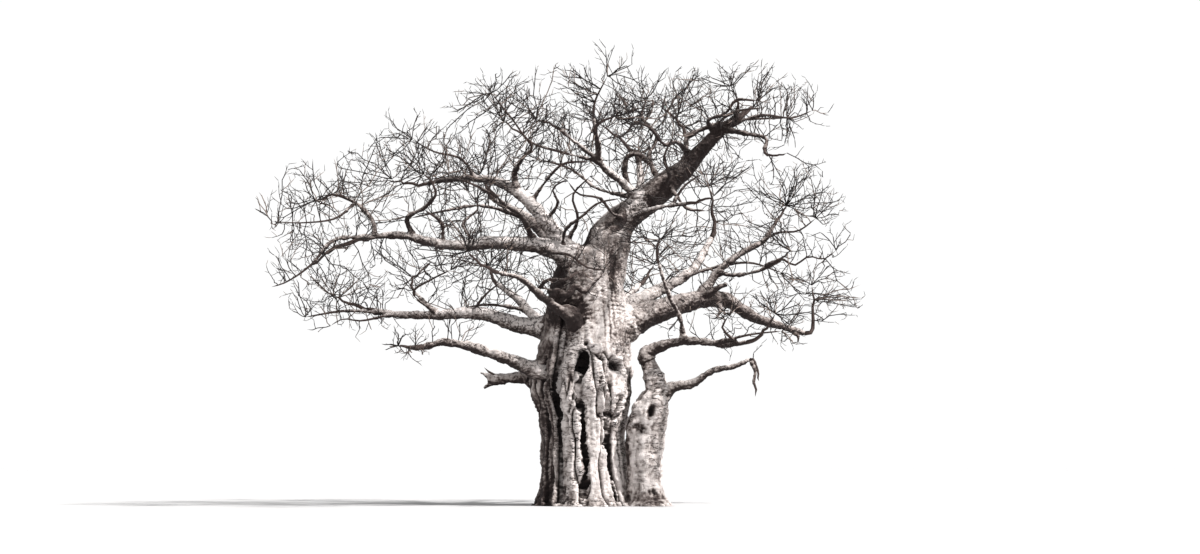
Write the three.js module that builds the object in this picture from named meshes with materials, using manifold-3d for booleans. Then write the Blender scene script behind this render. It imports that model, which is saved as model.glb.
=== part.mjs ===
// Bare baobab tree: a fluted trunk, a side stem, boughs, and masses of leafless twigs.
// The trunk stands on the ground at the origin, +Z is up and -Y faces the viewer.
import * as THREE from "three";
import { mergeVertices } from "three/addons/utils/BufferGeometryUtils.js";
import Module from "manifold-3d";

const wasm = await Module();
wasm.setup();

// Driving sizes, in metres unless the name says otherwise: the place of the viewer, the gaps between solids,
// and how limbs are divided and taper
const metre = 1000;
const viewDistance = 80;
const eyeHeight = 1.7;
const seatGap = 0.35 / metre;
const cutGap = 0.6 / metre;
const stemCutGap = 1 / metre;
const limbStep = 0.9;
const leastSteps = 3;
const usualTaper = 0.75;
const limbSides = [[0.5, 8], [0.3, 7], [0.16, 6], [0, 5]];

// Colours of bark in the sun and of twigs against the sky
const barkLook = { color: 0xb9b1a6, roughness: 0.9, metalness: 0 };
const twigLook = { color: 0x5a5048, roughness: 0.85, metalness: 0 };

// Outline of the trunk: height, middle across, middle in depth, radius
const trunkRows = [
  [0, 0.06, 0, 2.32],
  [0.35, 0.0, 0, 1.98],
  [1.2, -0.08, 0, 1.82],
  [2.6, -0.1, 0, 1.78],
  [3.6, -0.1, 0, 1.9],
  [4.5, -0.14, 0, 2.14],
  [5.2, -0.1, 0, 2.1],
  [5.8, -0.04, 0, 1.96],
  [7.4, 0.06, 0, 1.68],
  [8.8, 0.05, 0, 1.46],
  [9.3, 0.1, 0, 1.36],
  [9.75, 0.22, 0, 1.18],
  [10.15, 0.38, 0, 0.92],
  [10.5, 0.52, 0, 0.5],
];
const trunkRings = [0, 0.3, 0.8, 1.8, 2.8, 3.6, 4.4, 5.1, 5.7, 6.5, 7.6, 8.7, 9.4, 10.0, 10.5];

// Outline of the side stem, fused to the trunk's right front
const sideStemRows = [
  [0, 2.52, -0.9, 1.0],
  [0.3, 2.42, -0.9, 0.8],
  [0.9, 2.36, -0.9, 0.72],
  [1.8, 2.34, -0.9, 0.7],
  [3.0, 2.38, -0.9, 0.78],
  [3.8, 2.54, -0.9, 0.74],
  [4.2, 2.7, -0.88, 0.62],
  [4.55, 2.88, -0.86, 0.46],
  [4.72, 2.96, -0.85, 0.26],
];
const sideStemRings = sideStemRows.map((row) => row[0]);

// Creases between the trunk's flutes: degrees right of the front, depth, half width in degrees, and top
const trunkCreases = [
  { at: -52, deep: 0.24, wide: 6, top: 6.2 },
  { at: -32, deep: 0.42, wide: 7, top: 7.6 },
  { at: 1, deep: 0.34, wide: 6, top: 5.7 },
  { at: 38, deep: 0.26, wide: 6, top: 5.5 },
  { at: 70, deep: 0.3, wide: 7, top: 6.6 },
  { at: 102, deep: 0.26, wide: 6, top: 5.6 },
  { at: 136, deep: 0.4, wide: 7, top: 7.4 },
  { at: 168, deep: 0.28, wide: 6, top: 5.4 },
  { at: 200, deep: 0.34, wide: 7, top: 6.8 },
  { at: 232, deep: 0.24, wide: 6, top: 5.2 },
  { at: 260, deep: 0.32, wide: 6, top: 6.4 },
  { at: 284, deep: 0.22, wide: 5, top: 5.6 },
];
const sideStemCreases = [
  { at: -60, deep: 0.05, wide: 12, top: 4.0 },
  { at: 20, deep: 0.05, wide: 12, top: 3.2 },
  { at: 110, deep: 0.06, wide: 12, top: 3.8 },
  { at: 200, deep: 0.04, wide: 12, top: 3.0 },
];
const creaseFade = 0.8;
const creaseWander = 2.5;
const stems = [
  { name: "trunk", rows: trunkRows, rings: trunkRings, creases: trunkCreases },
  { name: "side_stem", rows: sideStemRows, rings: sideStemRings, creases: sideStemCreases },
];

// Boughs in metres: [across, depth, height] as judged in the plane of the trunk, parents before children.
// A bough starts at its first point inside the trunk or side stem, or part of the way along its parent.
const limbs = [
  {
    name: "bough_leader", on: "trunk", radii: [0.66, 0.16], taper: 1.3,
    route: [
      [0.55, 0.1, 8.9], [1.15, 0, 11.0], [2.2, -0.2, 12.0],
      [4.1, -0.5, 13.6], [5.2, -0.9, 14.8], [6.1, -1.1, 15.5],
    ],
  },
  {
    name: "bough_upper_left", on: "trunk", radii: [0.5, 0.08], taper: 0.6,
    route: [
      [-0.2, 0.1, 9.5], [-1.4, 0.3, 11.1], [-2.4, 0.7, 12.3],
      [-3.6, 1.2, 13.0], [-5.2, 1.9, 13.1], [-6.3, 2.4, 12.9],
    ],
  },
  {
    name: "bough_left", on: "trunk", radii: [0.5, 0.11], taper: 0.6,
    route: [
      [0.2, -0.4, 9.5], [-1.5, -0.8, 10.3], [-3.4, -1.4, 10.5],
      [-5.6, -1.9, 10.4], [-7.4, -2.4, 10.8], [-8.8, -2.7, 10.7],
    ],
  },
  {
    name: "bough_mid_left", on: "trunk", radii: [0.44, 0.11],
    route: [
      [-0.6, 0.2, 7.0], [-2.6, 0.5, 7.2], [-4.2, 0.9, 7.65],
      [-5.8, 1.4, 7.6], [-7.4, 2.0, 7.6], [-8.4, 2.3, 7.75],
    ],
  },
  {
    name: "bough_lower_left", on: "trunk", radii: [0.34, 0.13],
    route: [
      [-1.2, -0.5, 5.1], [-2.8, -1.1, 5.7], [-4.2, -1.7, 6.2],
      [-5.6, -2.1, 6.5], [-6.5, -2.3, 6.3],
    ],
  },
  {
    name: "stub_left", on: "trunk", radii: [0.34, 0.17],
    route: [[-1.2, 0.3, 5.2], [-2.6, 0.5, 5.1], [-3.9, 0.7, 4.98]],
  },
  {
    name: "bough_front_left", on: "trunk", radii: [0.26, 0.08],
    route: [
      [0.0, -0.9, 7.0], [-0.9, -2.1, 7.7], [-1.7, -3.0, 8.3],
      [-2.7, -4.2, 9.1], [-3.5, -4.9, 9.3],
    ],
  },
  {
    name: "bough_right", on: "trunk", radii: [0.6, 0.1], taper: 0.95,
    route: [
      [0.9, 0.2, 7.0], [2.8, 0.5, 7.7], [4.6, 0.9, 8.2], [5.6, 1.2, 8.2],
      [6.8, 1.6, 7.5], [8.0, 2.0, 7.1], [8.8, 2.2, 6.85],
    ],
  },
  {
    name: "bough_back_left", on: "trunk", radii: [0.46, 0.12],
    route: [[-0.2, 0.4, 8.8], [-1.3, 2.0, 10.5], [-2.5, 4.0, 11.6], [-3.6, 5.6, 12.2]],
  },
  {
    name: "bough_back", on: "trunk", radii: [0.46, 0.12],
    route: [[0.5, 0.4, 9.2], [1.3, 1.8, 11.1], [2.2, 3.6, 12.7], [2.2, 5.0, 13.7]],
  },
  {
    name: "bough_back_right", on: "trunk", radii: [0.42, 0.12],
    route: [[0.8, 0.6, 7.6], [2.6, 2.6, 8.4], [4.3, 4.6, 9.4], [5.1, 6.0, 10.7]],
  },
  {
    name: "bough_back_low", on: "trunk", radii: [0.4, 0.11],
    route: [[0.2, 0.8, 6.4], [0.7, 2.9, 7.3], [1.5, 4.9, 8.2], [2.2, 6.3, 8.8]],
  },
  {
    name: "bough_back_low_left", on: "trunk", radii: [0.38, 0.1],
    route: [[-0.5, 0.8, 6.2], [-1.7, 2.8, 7.2], [-2.8, 4.6, 8.3], [-3.5, 5.8, 8.8]],
  },
  {
    name: "bough_elbow_rise", on: "side_stem", radii: [0.3, 0.25],
    route: [[2.96, -0.85, 4.3], [2.75, -0.85, 5.1], [2.5, -0.85, 5.75]],
  },
  {
    name: "bough_elbow_reach", on: "bough_elbow_rise", at: 1, radii: [0.25, 0.09],
    route: [
      [2.72, -0.95, 6.2], [3.4, -1.3, 6.45], [4.5, -1.9, 6.55],
      [5.6, -2.6, 6.4], [6.5, -3.1, 6.5],
    ],
  },
  {
    name: "bough_slender", on: "bough_elbow_reach", at: 0.42, radii: [0.12, 0.06],
    route: [[3.8, -2.1, 7.5], [3.4, -2.5, 8.3], [3.15, -2.9, 9.0], [2.95, -3.2, 9.7]],
  },
  {
    name: "bough_low_right", on: "side_stem", radii: [0.27, 0.07],
    route: [
      [2.85, -0.85, 4.2], [3.5, -1.0, 4.7], [4.3, -1.3, 4.85],
      [5.1, -1.6, 5.35], [6.0, -1.9, 5.55], [6.6, -2.0, 5.8],
    ],
  },
  {
    name: "bough_upper_left_riser", on: "bough_upper_left", at: 0.5, radii: [0.15, 0.06],
    route: [[-2.85, 0.6, 13.3], [-2.5, 0.1, 13.95], [-2.2, -0.4, 14.25]],
  },
  {
    name: "bough_left_inner_riser", on: "bough_left", at: 0.26, radii: [0.14, 0.06],
    route: [[-2.6, -1.7, 11.6], [-3.2, -2.6, 12.0], [-3.6, -3.4, 12.4]],
  },
  {
    name: "bough_left_mid_riser", on: "bough_left", at: 0.8, radii: [0.12, 0.06],
    route: [[-7.15, -2.5, 11.5], [-6.5, -2.7, 11.9], [-6.1, -2.9, 12.3]],
  },
  {
    name: "bough_left_end_riser", on: "bough_left", at: 0.96, radii: [0.11, 0.06],
    route: [[-8.55, -2.4, 11.4], [-9.1, -2.0, 12.0], [-9.7, -1.7, 12.35]],
  },
  {
    name: "bough_mid_left_riser", on: "bough_mid_left", at: 0.66, radii: [0.12, 0.06],
    route: [[-6.5, 1.9, 8.15], [-6.9, 2.3, 8.6]],
  },
  {
    name: "bough_right_rise", on: "bough_right", at: 0.45, radii: [0.22, 0.08],
    route: [[5.4, 1.2, 9.4], [6.3, 1.5, 10.1], [7.2, 1.8, 10.6], [7.6, 2.1, 11.2]],
  },
  {
    name: "bough_right_low_rise", on: "bough_right_rise", at: 0.3, radii: [0.12, 0.06],
    route: [[6.0, 0.7, 9.2], [6.9, 0.3, 9.35], [7.5, 0.1, 9.6]],
  },
  {
    name: "bough_upper_centre", on: "bough_leader", at: 0.44, radii: [0.22, 0.08],
    route: [[1.4, -1.2, 13.05], [0.65, -2.2, 13.7], [0.5, -3.2, 14.6], [0.4, -3.9, 15.1]],
  },
  {
    name: "bough_upper_centre_left", on: "bough_upper_centre", at: 0.62, radii: [0.11, 0.06],
    route: [[-0.4, -3.2, 14.6], [-1.0, -3.7, 15.1]],
  },
  {
    name: "bough_arch", on: "bough_leader", at: 0.4, radii: [0.17, 0.09],
    route: [[1.6, -0.1, 13.4], [1.75, -0.2, 14.0], [2.15, -0.3, 14.1], [2.6, -0.4, 13.7]],
  },
  {
    name: "bough_leader_riser", on: "bough_leader", at: 0.68, radii: [0.17, 0.08],
    route: [[4.1, 0.1, 14.3], [4.05, 0.6, 14.9]],
  },
  {
    name: "bough_hooked", on: "bough_leader", at: 0.93, radii: [0.13, 0.06],
    route: [[6.5, -1.6, 14.95], [7.3, -2.0, 14.75], [7.25, -2.3, 14.3]],
  },
  {
    name: "bough_right_pale", on: "bough_leader", at: 0.28, radii: [0.16, 0.07],
    route: [[2.5, -1.2, 11.8], [3.3, -2.2, 12.0], [4.1, -3.1, 12.1]],
  },
];

// Masses of twigs: the bough that carries each, its heart as [across, depth, height], and its reach each way
const masses = [
  { of: "bough_leader", heart: [6.6, -0.6, 15.9], reach: [2.8, 3.0, 1.85] },
  { of: "bough_leader_riser", heart: [3.4, 1.4, 15.7], reach: [2.8, 3.1, 2.05] },
  { of: "bough_hooked", heart: [7.9, -3.2, 14.2], reach: [2.0, 2.5, 1.6] },
  { of: "bough_upper_centre", heart: [1.0, -4.2, 15.5], reach: [2.7, 3.2, 2.2] },
  { of: "bough_upper_centre_left", heart: [-1.7, -3.9, 15.4], reach: [2.6, 3.2, 2.2] },
  { of: "bough_upper_left_riser", heart: [-3.0, -0.9, 15.1], reach: [2.9, 3.1, 2.2] },
  { of: "bough_upper_left", heart: [-7.4, 3.2, 13.0], reach: [3.1, 3.3, 2.1] },
  { of: "bough_left", heart: [-10.4, -3.2, 9.9], reach: [2.9, 2.8, 1.6] },
  { of: "bough_left_end_riser", heart: [-10.5, -1.0, 12.2], reach: [2.8, 3.0, 1.7] },
  { of: "bough_left_mid_riser", heart: [-6.4, -3.4, 13.0], reach: [2.9, 3.0, 2.3] },
  { of: "bough_left_inner_riser", heart: [-3.8, -5.0, 12.9], reach: [2.7, 3.2, 2.3] },
  { of: "bough_front_left", heart: [-4.4, -5.8, 9.9], reach: [2.8, 2.8, 1.5] },
  { of: "bough_mid_left", heart: [-9.6, 2.9, 8.2], reach: [2.7, 2.8, 1.5] },
  { of: "bough_mid_left_riser", heart: [-6.4, 3.2, 9.4], reach: [2.9, 2.9, 1.7] },
  { of: "bough_lower_left", heart: [-7.2, -2.5, 6.35], reach: [0.95, 1.0, 0.7] },
  { of: "bough_right", heart: [9.0, 2.3, 8.2], reach: [2.3, 2.8, 1.7] },
  { of: "bough_right_rise", heart: [8.0, 2.3, 11.8], reach: [2.7, 3.1, 2.2] },
  { of: "bough_right_low_rise", heart: [8.0, -0.8, 10.0], reach: [2.4, 2.6, 1.5] },
  { of: "bough_right_pale", heart: [4.9, -4.3, 12.3], reach: [2.8, 3.2, 1.9] },
  { of: "bough_slender", heart: [3.0, -4.2, 10.4], reach: [2.3, 2.5, 1.6] },
  { of: "bough_elbow_reach", heart: [7.3, -3.8, 7.3], reach: [2.2, 2.5, 1.3] },
  { of: "bough_low_right", heart: [6.85, -2.1, 5.2], reach: [0.6, 0.6, 1.0] },
  { of: "bough_back_left", heart: [-4.0, 6.0, 13.0], reach: [3.4, 3.4, 2.4] },
  { of: "bough_back", heart: [1.0, 5.8, 14.9], reach: [3.2, 3.3, 2.2] },
  { of: "bough_back_right", heart: [5.0, 6.2, 12.2], reach: [3.3, 3.4, 2.3] },
  { of: "bough_back_low", heart: [2.6, 6.8, 9.4], reach: [3.0, 3.0, 1.7] },
  { of: "bough_back_low_left", heart: [-3.8, 6.5, 9.4], reach: [3.2, 3.1, 1.7] },
];

// How twigs branch. The stem of a mass runs from its bough's tip past the heart. Sprays, order 1,
// run from the stem to places spread over the edge of the space, and shoots, order 2, spring from
// places along a spray.
const stemTwig = { steps: 3, endRadius: 0.07, pastHeart: 0.4 };
const sprays = {
  perMetre: 3, least: 4, starts: [0.2, 1], legs: 2,
  reachTries: [0.97, 0.8, 0.62, 0.45], radii: [0.036, 0.024], crook: 0.14,
};
const shoots = {
  starts: [0.45, 0.85], angle: [32, 62], length: [0.42, 0.66], tries: 4, radius: 0.013, lift: 0.25,
};
const twigSides = 3;
const goldenAngle = Math.PI * (3 - Math.sqrt(5));
const up = new THREE.Vector3(0, 0, 1);

// What twigs keep clear of: limbs, sampled in balls, and the spaces of other masses
const limbClearance = 0.07;
const limbSampleStep = 0.18;
const spaceMargin = 0.035;
const fitSamples = 6;

// Numbers of the draws that each seed is used for
const treeSeed = 7;
const draws = { ringTurn: 99, aside: 20, offset: 30, shoot: 50, angle: 0, turn: 10, length: 20 };
const wholeRange = 2 ** 32;

// A whole number mixed from a seed and an index, and the same as a fraction of one
function mix(seed, index) {
  let n = (Math.imul(seed, 747796405) + Math.imul(index + 1, 277803737)) >>> 0;
  n = Math.imul(n ^ (n >>> 16), 2246822519) >>> 0;
  n = Math.imul(n ^ (n >>> 13), 3266489917) >>> 0;
  return (n ^ (n >>> 16)) >>> 0;
}

function chance(seed, index) {
  return mix(seed, index) / wholeRange;
}

function within([low, high], fraction) {
  return low + (high - low) * fraction;
}

// A place judged in the plane of the trunk, moved along the line of sight to its real depth
function place([across, depth, height]) {
  const scale = (viewDistance + depth) / viewDistance;
  return new THREE.Vector3(across * scale, depth, eyeHeight + (height - eyeHeight) * scale);
}

// Values of an outline's rows at one height
function rowAt(rows, height) {
  const upper = Math.max(1, rows.findIndex((row) => row[0] >= height));
  const [below, above] = [rows[upper - 1], rows[upper]];
  const part = (height - below[0]) / (above[0] - below[0]);
  return below.map((value, column) => value + (above[column] - value) * part);
}

// How deep the creases cut at one angle, in degrees, and height
function creaseDepth(creases, angle, height) {
  let depth = 0;
  for (const crease of creases) {
    const away = Math.abs(((angle - crease.at + 540) % 360) - 180);
    const fade = THREE.MathUtils.clamp((crease.top - height) / creaseFade + 0.5, 0, 1);
    depth += crease.deep * fade * Math.exp(-away / crease.wide);
  }
  return depth;
}

// Angles round a stem: each crease, its two shoulders and the crown of the flute after it
function stemAngles(creases) {
  const angles = [];
  creases.forEach((crease, index) => {
    const next = creases[(index + 1) % creases.length];
    const span = (next.at - crease.at + 360) % 360;
    angles.push(crease.at, crease.at + crease.wide, crease.at + span / 2, crease.at + span - next.wide);
  });
  return angles;
}

// A trunk or side stem: a cylinder whose rings follow the outline, its flutes cut by the creases.
// A swollen copy, which cuts its neighbours, also reaches a little below the ground and above the top.
function stemGeometry({ rows, rings, creases }, swell = 0) {
  const angles = stemAngles(creases);
  const steps = rings.length - 1;
  const geometry = new THREE.CylinderGeometry(1, 1, 1, angles.length, steps);
  const position = geometry.attributes.position;
  const point = new THREE.Vector3();
  for (let index = 0; index < position.count; index += 1) {
    point.fromBufferAttribute(position, index);
    const ring = Math.round((0.5 + point.y) * steps);
    const height = ring === 0 ? -swell : rings[ring];
    const [, across, depth, radius] = rowAt(rows, height);
    const turn = Math.round((Math.atan2(point.x, point.z) / (2 * Math.PI)) * angles.length);
    const angle = angles[(turn + angles.length) % angles.length];
    const onAxis = Math.hypot(point.x, point.z) < 1e-9;
    const reach = onAxis ? 0 : radius - creaseDepth(creases, angle, height) + swell;
    const lifted = ring === steps ? height + swell : height;
    const wander = creaseWander * Math.sin(height * 1.1 + across);
    const radians = THREE.MathUtils.degToRad(angle + wander);
    position.setXYZ(index, across + reach * Math.sin(radians), depth - reach * Math.cos(radians), lifted);
  }
  return geometry;
}

// The radius of a limb part of the way along it
function radiusAlong({ radii, taper = usualTaper }, part) {
  return radii[0] + (radii[1] - radii[0]) * part ** taper;
}

// A bough with as many sides and steps as its size needs
function limbGeometry(curve, limb) {
  const sides = limbSides.find(([least]) => limb.radii[0] > least)[1];
  return bentCylinder(curve, limb, sides, Math.max(leastSteps, Math.round(curve.getLength() / limbStep)));
}

// A round limb bent along a curve, tapering from one radius to the other
function bentCylinder(curve, limb, sides, steps) {
  const geometry = new THREE.CylinderGeometry(1, 1, 1, sides, steps);
  const position = geometry.attributes.position;
  const frames = curve.computeFrenetFrames(steps);
  const point = new THREE.Vector3();
  for (let index = 0; index < position.count; index += 1) {
    point.fromBufferAttribute(position, index);
    const step = Math.round((0.5 + point.y) * steps);
    const radius = radiusAlong(limb, step / steps);
    const spot = curve.getPointAt(step / steps);
    spot.addScaledVector(frames.normals[step], point.x * radius);
    spot.addScaledVector(frames.binormals[step], -point.z * radius);
    position.setXYZ(index, spot.x, spot.y, spot.z);
  }
  return geometry;
}

// The closed mesh of a geometry with only its shared corners, each moved out by a little where asked
function closedMesh(geometry, swell = 0) {
  geometry.deleteAttribute("normal");
  geometry.deleteAttribute("uv");
  const merged = mergeVertices(geometry, 1e-6);
  if (swell > 0) {
    merged.computeVertexNormals();
    const { position, normal } = merged.attributes;
    for (let index = 0; index < position.count; index += 1) {
      position.setXYZ(
        index,
        position.getX(index) + normal.getX(index) * swell,
        position.getY(index) + normal.getY(index) * swell,
        position.getZ(index) + normal.getZ(index) * swell,
      );
    }
  }
  return merged;
}

// A solid in millimetres from a geometry in metres
function solidOf(geometry, swell = 0) {
  const merged = closedMesh(geometry, swell);
  const vertProperties = new Float32Array(merged.attributes.position.array).map((value) => value * metre);
  const triVerts = new Uint32Array(merged.index.array);
  return new wasm.Manifold(new wasm.Mesh({ numProp: 3, vertProperties, triVerts }));
}

// The largest body of a solid that a cut left in pieces
function largestBody(solid) {
  return solid.decompose().reduce((best, body) => (body.volume() > best.volume() ? body : best));
}

function meshOf(name, solid, look) {
  const { vertProperties, triVerts } = solid.getMesh();
  const geometry = new THREE.BufferGeometry();
  geometry.setAttribute("position", new THREE.BufferAttribute(new Float32Array(vertProperties), 3));
  geometry.setIndex(new THREE.BufferAttribute(new Uint32Array(triVerts), 1));
  geometry.computeVertexNormals();
  const mesh = new THREE.Mesh(geometry, new THREE.MeshStandardMaterial(look));
  mesh.name = name;
  return mesh;
}

// The curve of one bough, from the trunk, from part of the way along its parent, or on from its parent's tip
function limbCurve(limb, curves) {
  const points = limb.route.map(place);
  const parent = curves.get(limb.on);
  if (parent && limb.at < 1) {
    points.unshift(parent.getPointAt(limb.at));
  }
  if (parent && limb.at === 1) {
    const onward = parent.getTangentAt(1);
    const tip = parent.getPointAt(1).addScaledVector(onward, seatGap);
    points.unshift(tip, tip.clone().addScaledVector(onward, limb.radii[0]));
  }
  return new THREE.CatmullRomCurve3(points, false, "centripetal");
}

// Balls along every limb, which twigs keep clear of
function limbBalls(curves) {
  const balls = [];
  for (const { rows } of stems) {
    for (let height = 0; height <= rows.at(-1)[0]; height += limbSampleStep) {
      const [, across, depth, radius] = rowAt(rows, height);
      balls.push({ centre: new THREE.Vector3(across, depth, height), radius });
    }
  }
  for (const limb of limbs) {
    const curve = curves.get(limb.name);
    const count = Math.ceil(curve.getLength() / limbSampleStep);
    for (let index = 0; index <= count; index += 1) {
      balls.push({ centre: curve.getPointAt(index / count), radius: radiusAlong(limb, index / count) });
    }
  }
  return balls;
}

// How far out a point lies in a mass's space: 0 at its heart and 1 at the edge
function outness(point, mass) {
  const away = point.clone().sub(mass.middle);
  return Math.hypot(away.x / mass.reach[0], away.y / mass.reach[1], away.z / mass.reach[2]);
}

function inOwnSpace(point, mass) {
  const own = outness(point, mass);
  return own <= 1 && masses.every((other) => other === mass || own + spaceMargin < outness(point, other));
}

// Whether a straight twig keeps to its mass's space and clear of every limb
function fits(start, end, mass, balls) {
  for (let index = 1; index <= fitSamples; index += 1) {
    const point = start.clone().lerp(end, index / fitSamples);
    if (!inOwnSpace(point, mass)) {
      return false;
    }
    if (balls.some((ball) => ball.centre.distanceTo(point) < ball.radius + limbClearance)) {
      return false;
    }
  }
  return true;
}

// A direction that leaves another at an angle, turned round it
function turnedAway(direction, angle, turn) {
  const side = Math.abs(direction.z) < 0.9 ? up : new THREE.Vector3(1, 0, 0);
  const across = new THREE.Vector3().crossVectors(direction, side).normalize();
  across.applyAxisAngle(direction, turn);
  return direction.clone().applyAxisAngle(across, angle);
}

// Corners of a crooked twig, straight at both ends of its line
function crookedPath(start, end, legs, crook, seed) {
  const line = end.clone().sub(start);
  const direction = line.clone().normalize();
  const corners = [start];
  for (let leg = 1; leg < legs; leg += 1) {
    const aside = turnedAway(direction, Math.PI / 2, 2 * Math.PI * chance(seed, draws.aside + leg));
    const offset = crook * line.length() * (0.5 + 0.5 * chance(seed, draws.offset + leg));
    corners.push(start.clone().addScaledVector(line, leg / legs).addScaledVector(aside, offset));
  }
  corners.push(end);
  return corners;
}

// Directions spread evenly over a ball, numbered round it
function spreadDirection(index, count, turn) {
  const height = 1 - (2 * (index + 0.5)) / count;
  const ring = Math.sqrt(1 - height * height);
  const angle = goldenAngle * index + turn;
  return new THREE.Vector3(ring * Math.cos(angle), ring * Math.sin(angle), height);
}

// Order 1: crooked twigs from the stem to places spread over the edge of the mass
function sprayPaths(mass, stem, balls) {
  const paths = [];
  const count = Math.max(sprays.least, Math.round(sprays.perMetre * mass.reach[0]));
  for (let index = 0; index < count; index += 1) {
    const seed = mix(mass.seed, index);
    const toward = spreadDirection(index, count, 2 * Math.PI * chance(mass.seed, draws.ringTurn));
    const start = stem.getPointAt(within(sprays.starts, 0.5 + 0.5 * toward.dot(stem.getTangentAt(1))));
    for (const share of sprays.reachTries) {
      const end = mass.middle.clone();
      end.x += toward.x * mass.reach[0] * share;
      end.y += toward.y * mass.reach[1] * share;
      end.z += toward.z * mass.reach[2] * share;
      const corners = crookedPath(start, end, sprays.legs, sprays.crook, seed);
      if (corners.slice(1).every((corner, leg) => fits(corners[leg], corner, mass, balls))) {
        paths.push({ corners, seed });
        break;
      }
    }
  }
  return paths;
}

// Order 2: straight pointed shoots from places along one spray
function shootLines({ corners, seed }, mass, balls) {
  const lines = [];
  const legs = corners.length - 1;
  const length = corners[0].distanceTo(corners[legs]);
  shoots.starts.forEach((along, index) => {
    const leg = Math.min(legs - 1, Math.floor(along * legs));
    const start = corners[leg].clone().lerp(corners[leg + 1], along * legs - leg);
    const direction = corners[leg + 1].clone().sub(corners[leg]).normalize();
    const own = mix(seed, draws.shoot + index);
    for (let attempt = 0; attempt < shoots.tries; attempt += 1) {
      const angle = THREE.MathUtils.degToRad(within(shoots.angle, chance(own, draws.angle + attempt)));
      const turn = goldenAngle * index + 2 * Math.PI * chance(own, draws.turn + attempt);
      const heading = turnedAway(direction, angle, turn).addScaledVector(up, shoots.lift).normalize();
      const share = within(shoots.length, chance(own, draws.length + attempt));
      const end = start.clone().addScaledVector(heading, length * share);
      if (fits(start, end, mass, balls)) {
        lines.push({ start, end });
        break;
      }
    }
  });
  return lines;
}

// A three-sided twig along corners, tapering, pointed where its last radius is nothing
function twigGeometry(corners, startRadius, endRadius) {
  const legs = corners.length - 1;
  const geometry = new THREE.CylinderGeometry(endRadius > 0 ? 1 : 0, 1, 1, twigSides, legs);
  const position = geometry.attributes.position;
  const direction = corners[legs].clone().sub(corners[0]).normalize();
  const normal = turnedAway(direction, Math.PI / 2, 0);
  const binormal = new THREE.Vector3().crossVectors(normal, direction);
  const point = new THREE.Vector3();
  for (let index = 0; index < position.count; index += 1) {
    point.fromBufferAttribute(position, index);
    const leg = Math.round((0.5 + point.y) * legs);
    const width = Math.hypot(point.x, point.z) || 1;
    const radius = startRadius + ((endRadius - startRadius) * leg) / legs;
    const spot = corners[leg].clone();
    spot.addScaledVector(normal, (point.x / width) * radius);
    spot.addScaledVector(binormal, (point.z / width) * radius);
    position.setXYZ(index, spot.x, spot.y, spot.z);
  }
  return geometry;
}

// One mass: its stem from the bough's tip to its heart, the sprays and the shoots joined into one body
function massSolid(mass, curves, balls) {
  const limb = limbs.find((one) => one.name === mass.of);
  const bough = curves.get(mass.of);
  const onward = bough.getTangentAt(1);
  const tip = bough.getPointAt(1).addScaledVector(onward, seatGap);
  const lead = tip.distanceTo(mass.middle) / 2;
  const stemEnd = tip.clone().lerp(mass.middle, 1 + stemTwig.pastHeart);
  const stem = new THREE.QuadraticBezierCurve3(tip, tip.clone().addScaledVector(onward, lead), stemEnd);
  const stemSizes = { radii: [limb.radii[1], stemTwig.endRadius], taper: 1 };
  let solid = solidOf(bentCylinder(stem, stemSizes, twigSides, stemTwig.steps));
  for (const path of sprayPaths(mass, stem, balls)) {
    solid = solid.add(solidOf(twigGeometry(path.corners, ...sprays.radii)));
    for (const line of shootLines(path, mass, balls)) {
      solid = solid.add(solidOf(twigGeometry([line.start, line.end], shoots.radius, 0)));
    }
  }
  return largestBody(solid);
}

// The tree, put together from the ground up
const tree = new THREE.Group();
const curves = new Map();
const cutters = [];
for (const stem of stems) {
  const solid = cutters.reduce((rest, cutter) => rest.subtract(cutter), solidOf(stemGeometry(stem)));
  tree.add(meshOf(stem.name, largestBody(solid), barkLook));
  cutters.push(solidOf(stemGeometry(stem, stemCutGap)));
}

for (const limb of limbs) {
  const curve = limbCurve(limb, curves);
  curves.set(limb.name, curve);
  const shape = () => limbGeometry(curve, limb);
  const solid = cutters.reduce((rest, cutter) => rest.subtract(cutter), solidOf(shape()));
  tree.add(meshOf(limb.name, largestBody(solid), barkLook));
  cutters.push(solidOf(shape(), cutGap));
}

const balls = limbBalls(curves);
masses.forEach((mass, index) => {
  mass.middle = place(mass.heart);
  mass.seed = mix(treeSeed, index);
});
for (const mass of masses) {
  tree.add(meshOf(mass.of.replace("bough", "twigs"), massSolid(mass, curves, balls), twigLook));
}

export default tree;
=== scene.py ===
import math
import bmesh
import bpy
import numpy as np
from mathutils import Matrix, Vector, kdtree, noise


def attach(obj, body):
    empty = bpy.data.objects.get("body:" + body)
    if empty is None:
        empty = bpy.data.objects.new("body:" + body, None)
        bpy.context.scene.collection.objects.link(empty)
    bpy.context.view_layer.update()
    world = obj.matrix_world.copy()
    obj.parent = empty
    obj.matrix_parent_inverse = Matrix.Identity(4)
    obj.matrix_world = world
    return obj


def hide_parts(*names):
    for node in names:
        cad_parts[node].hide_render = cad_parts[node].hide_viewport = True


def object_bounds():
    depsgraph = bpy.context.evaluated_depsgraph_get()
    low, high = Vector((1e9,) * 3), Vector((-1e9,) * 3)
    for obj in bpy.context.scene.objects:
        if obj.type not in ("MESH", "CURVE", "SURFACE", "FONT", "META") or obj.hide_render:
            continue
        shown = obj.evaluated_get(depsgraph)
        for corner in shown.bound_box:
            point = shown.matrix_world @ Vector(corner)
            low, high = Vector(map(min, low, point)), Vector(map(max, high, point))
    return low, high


# Bare baobab tree: bark with its folds over the trunk and boughs, and masses of fine leafless twigs.
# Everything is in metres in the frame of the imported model: the ground is z = 0 and -Y faces the viewer.

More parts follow.
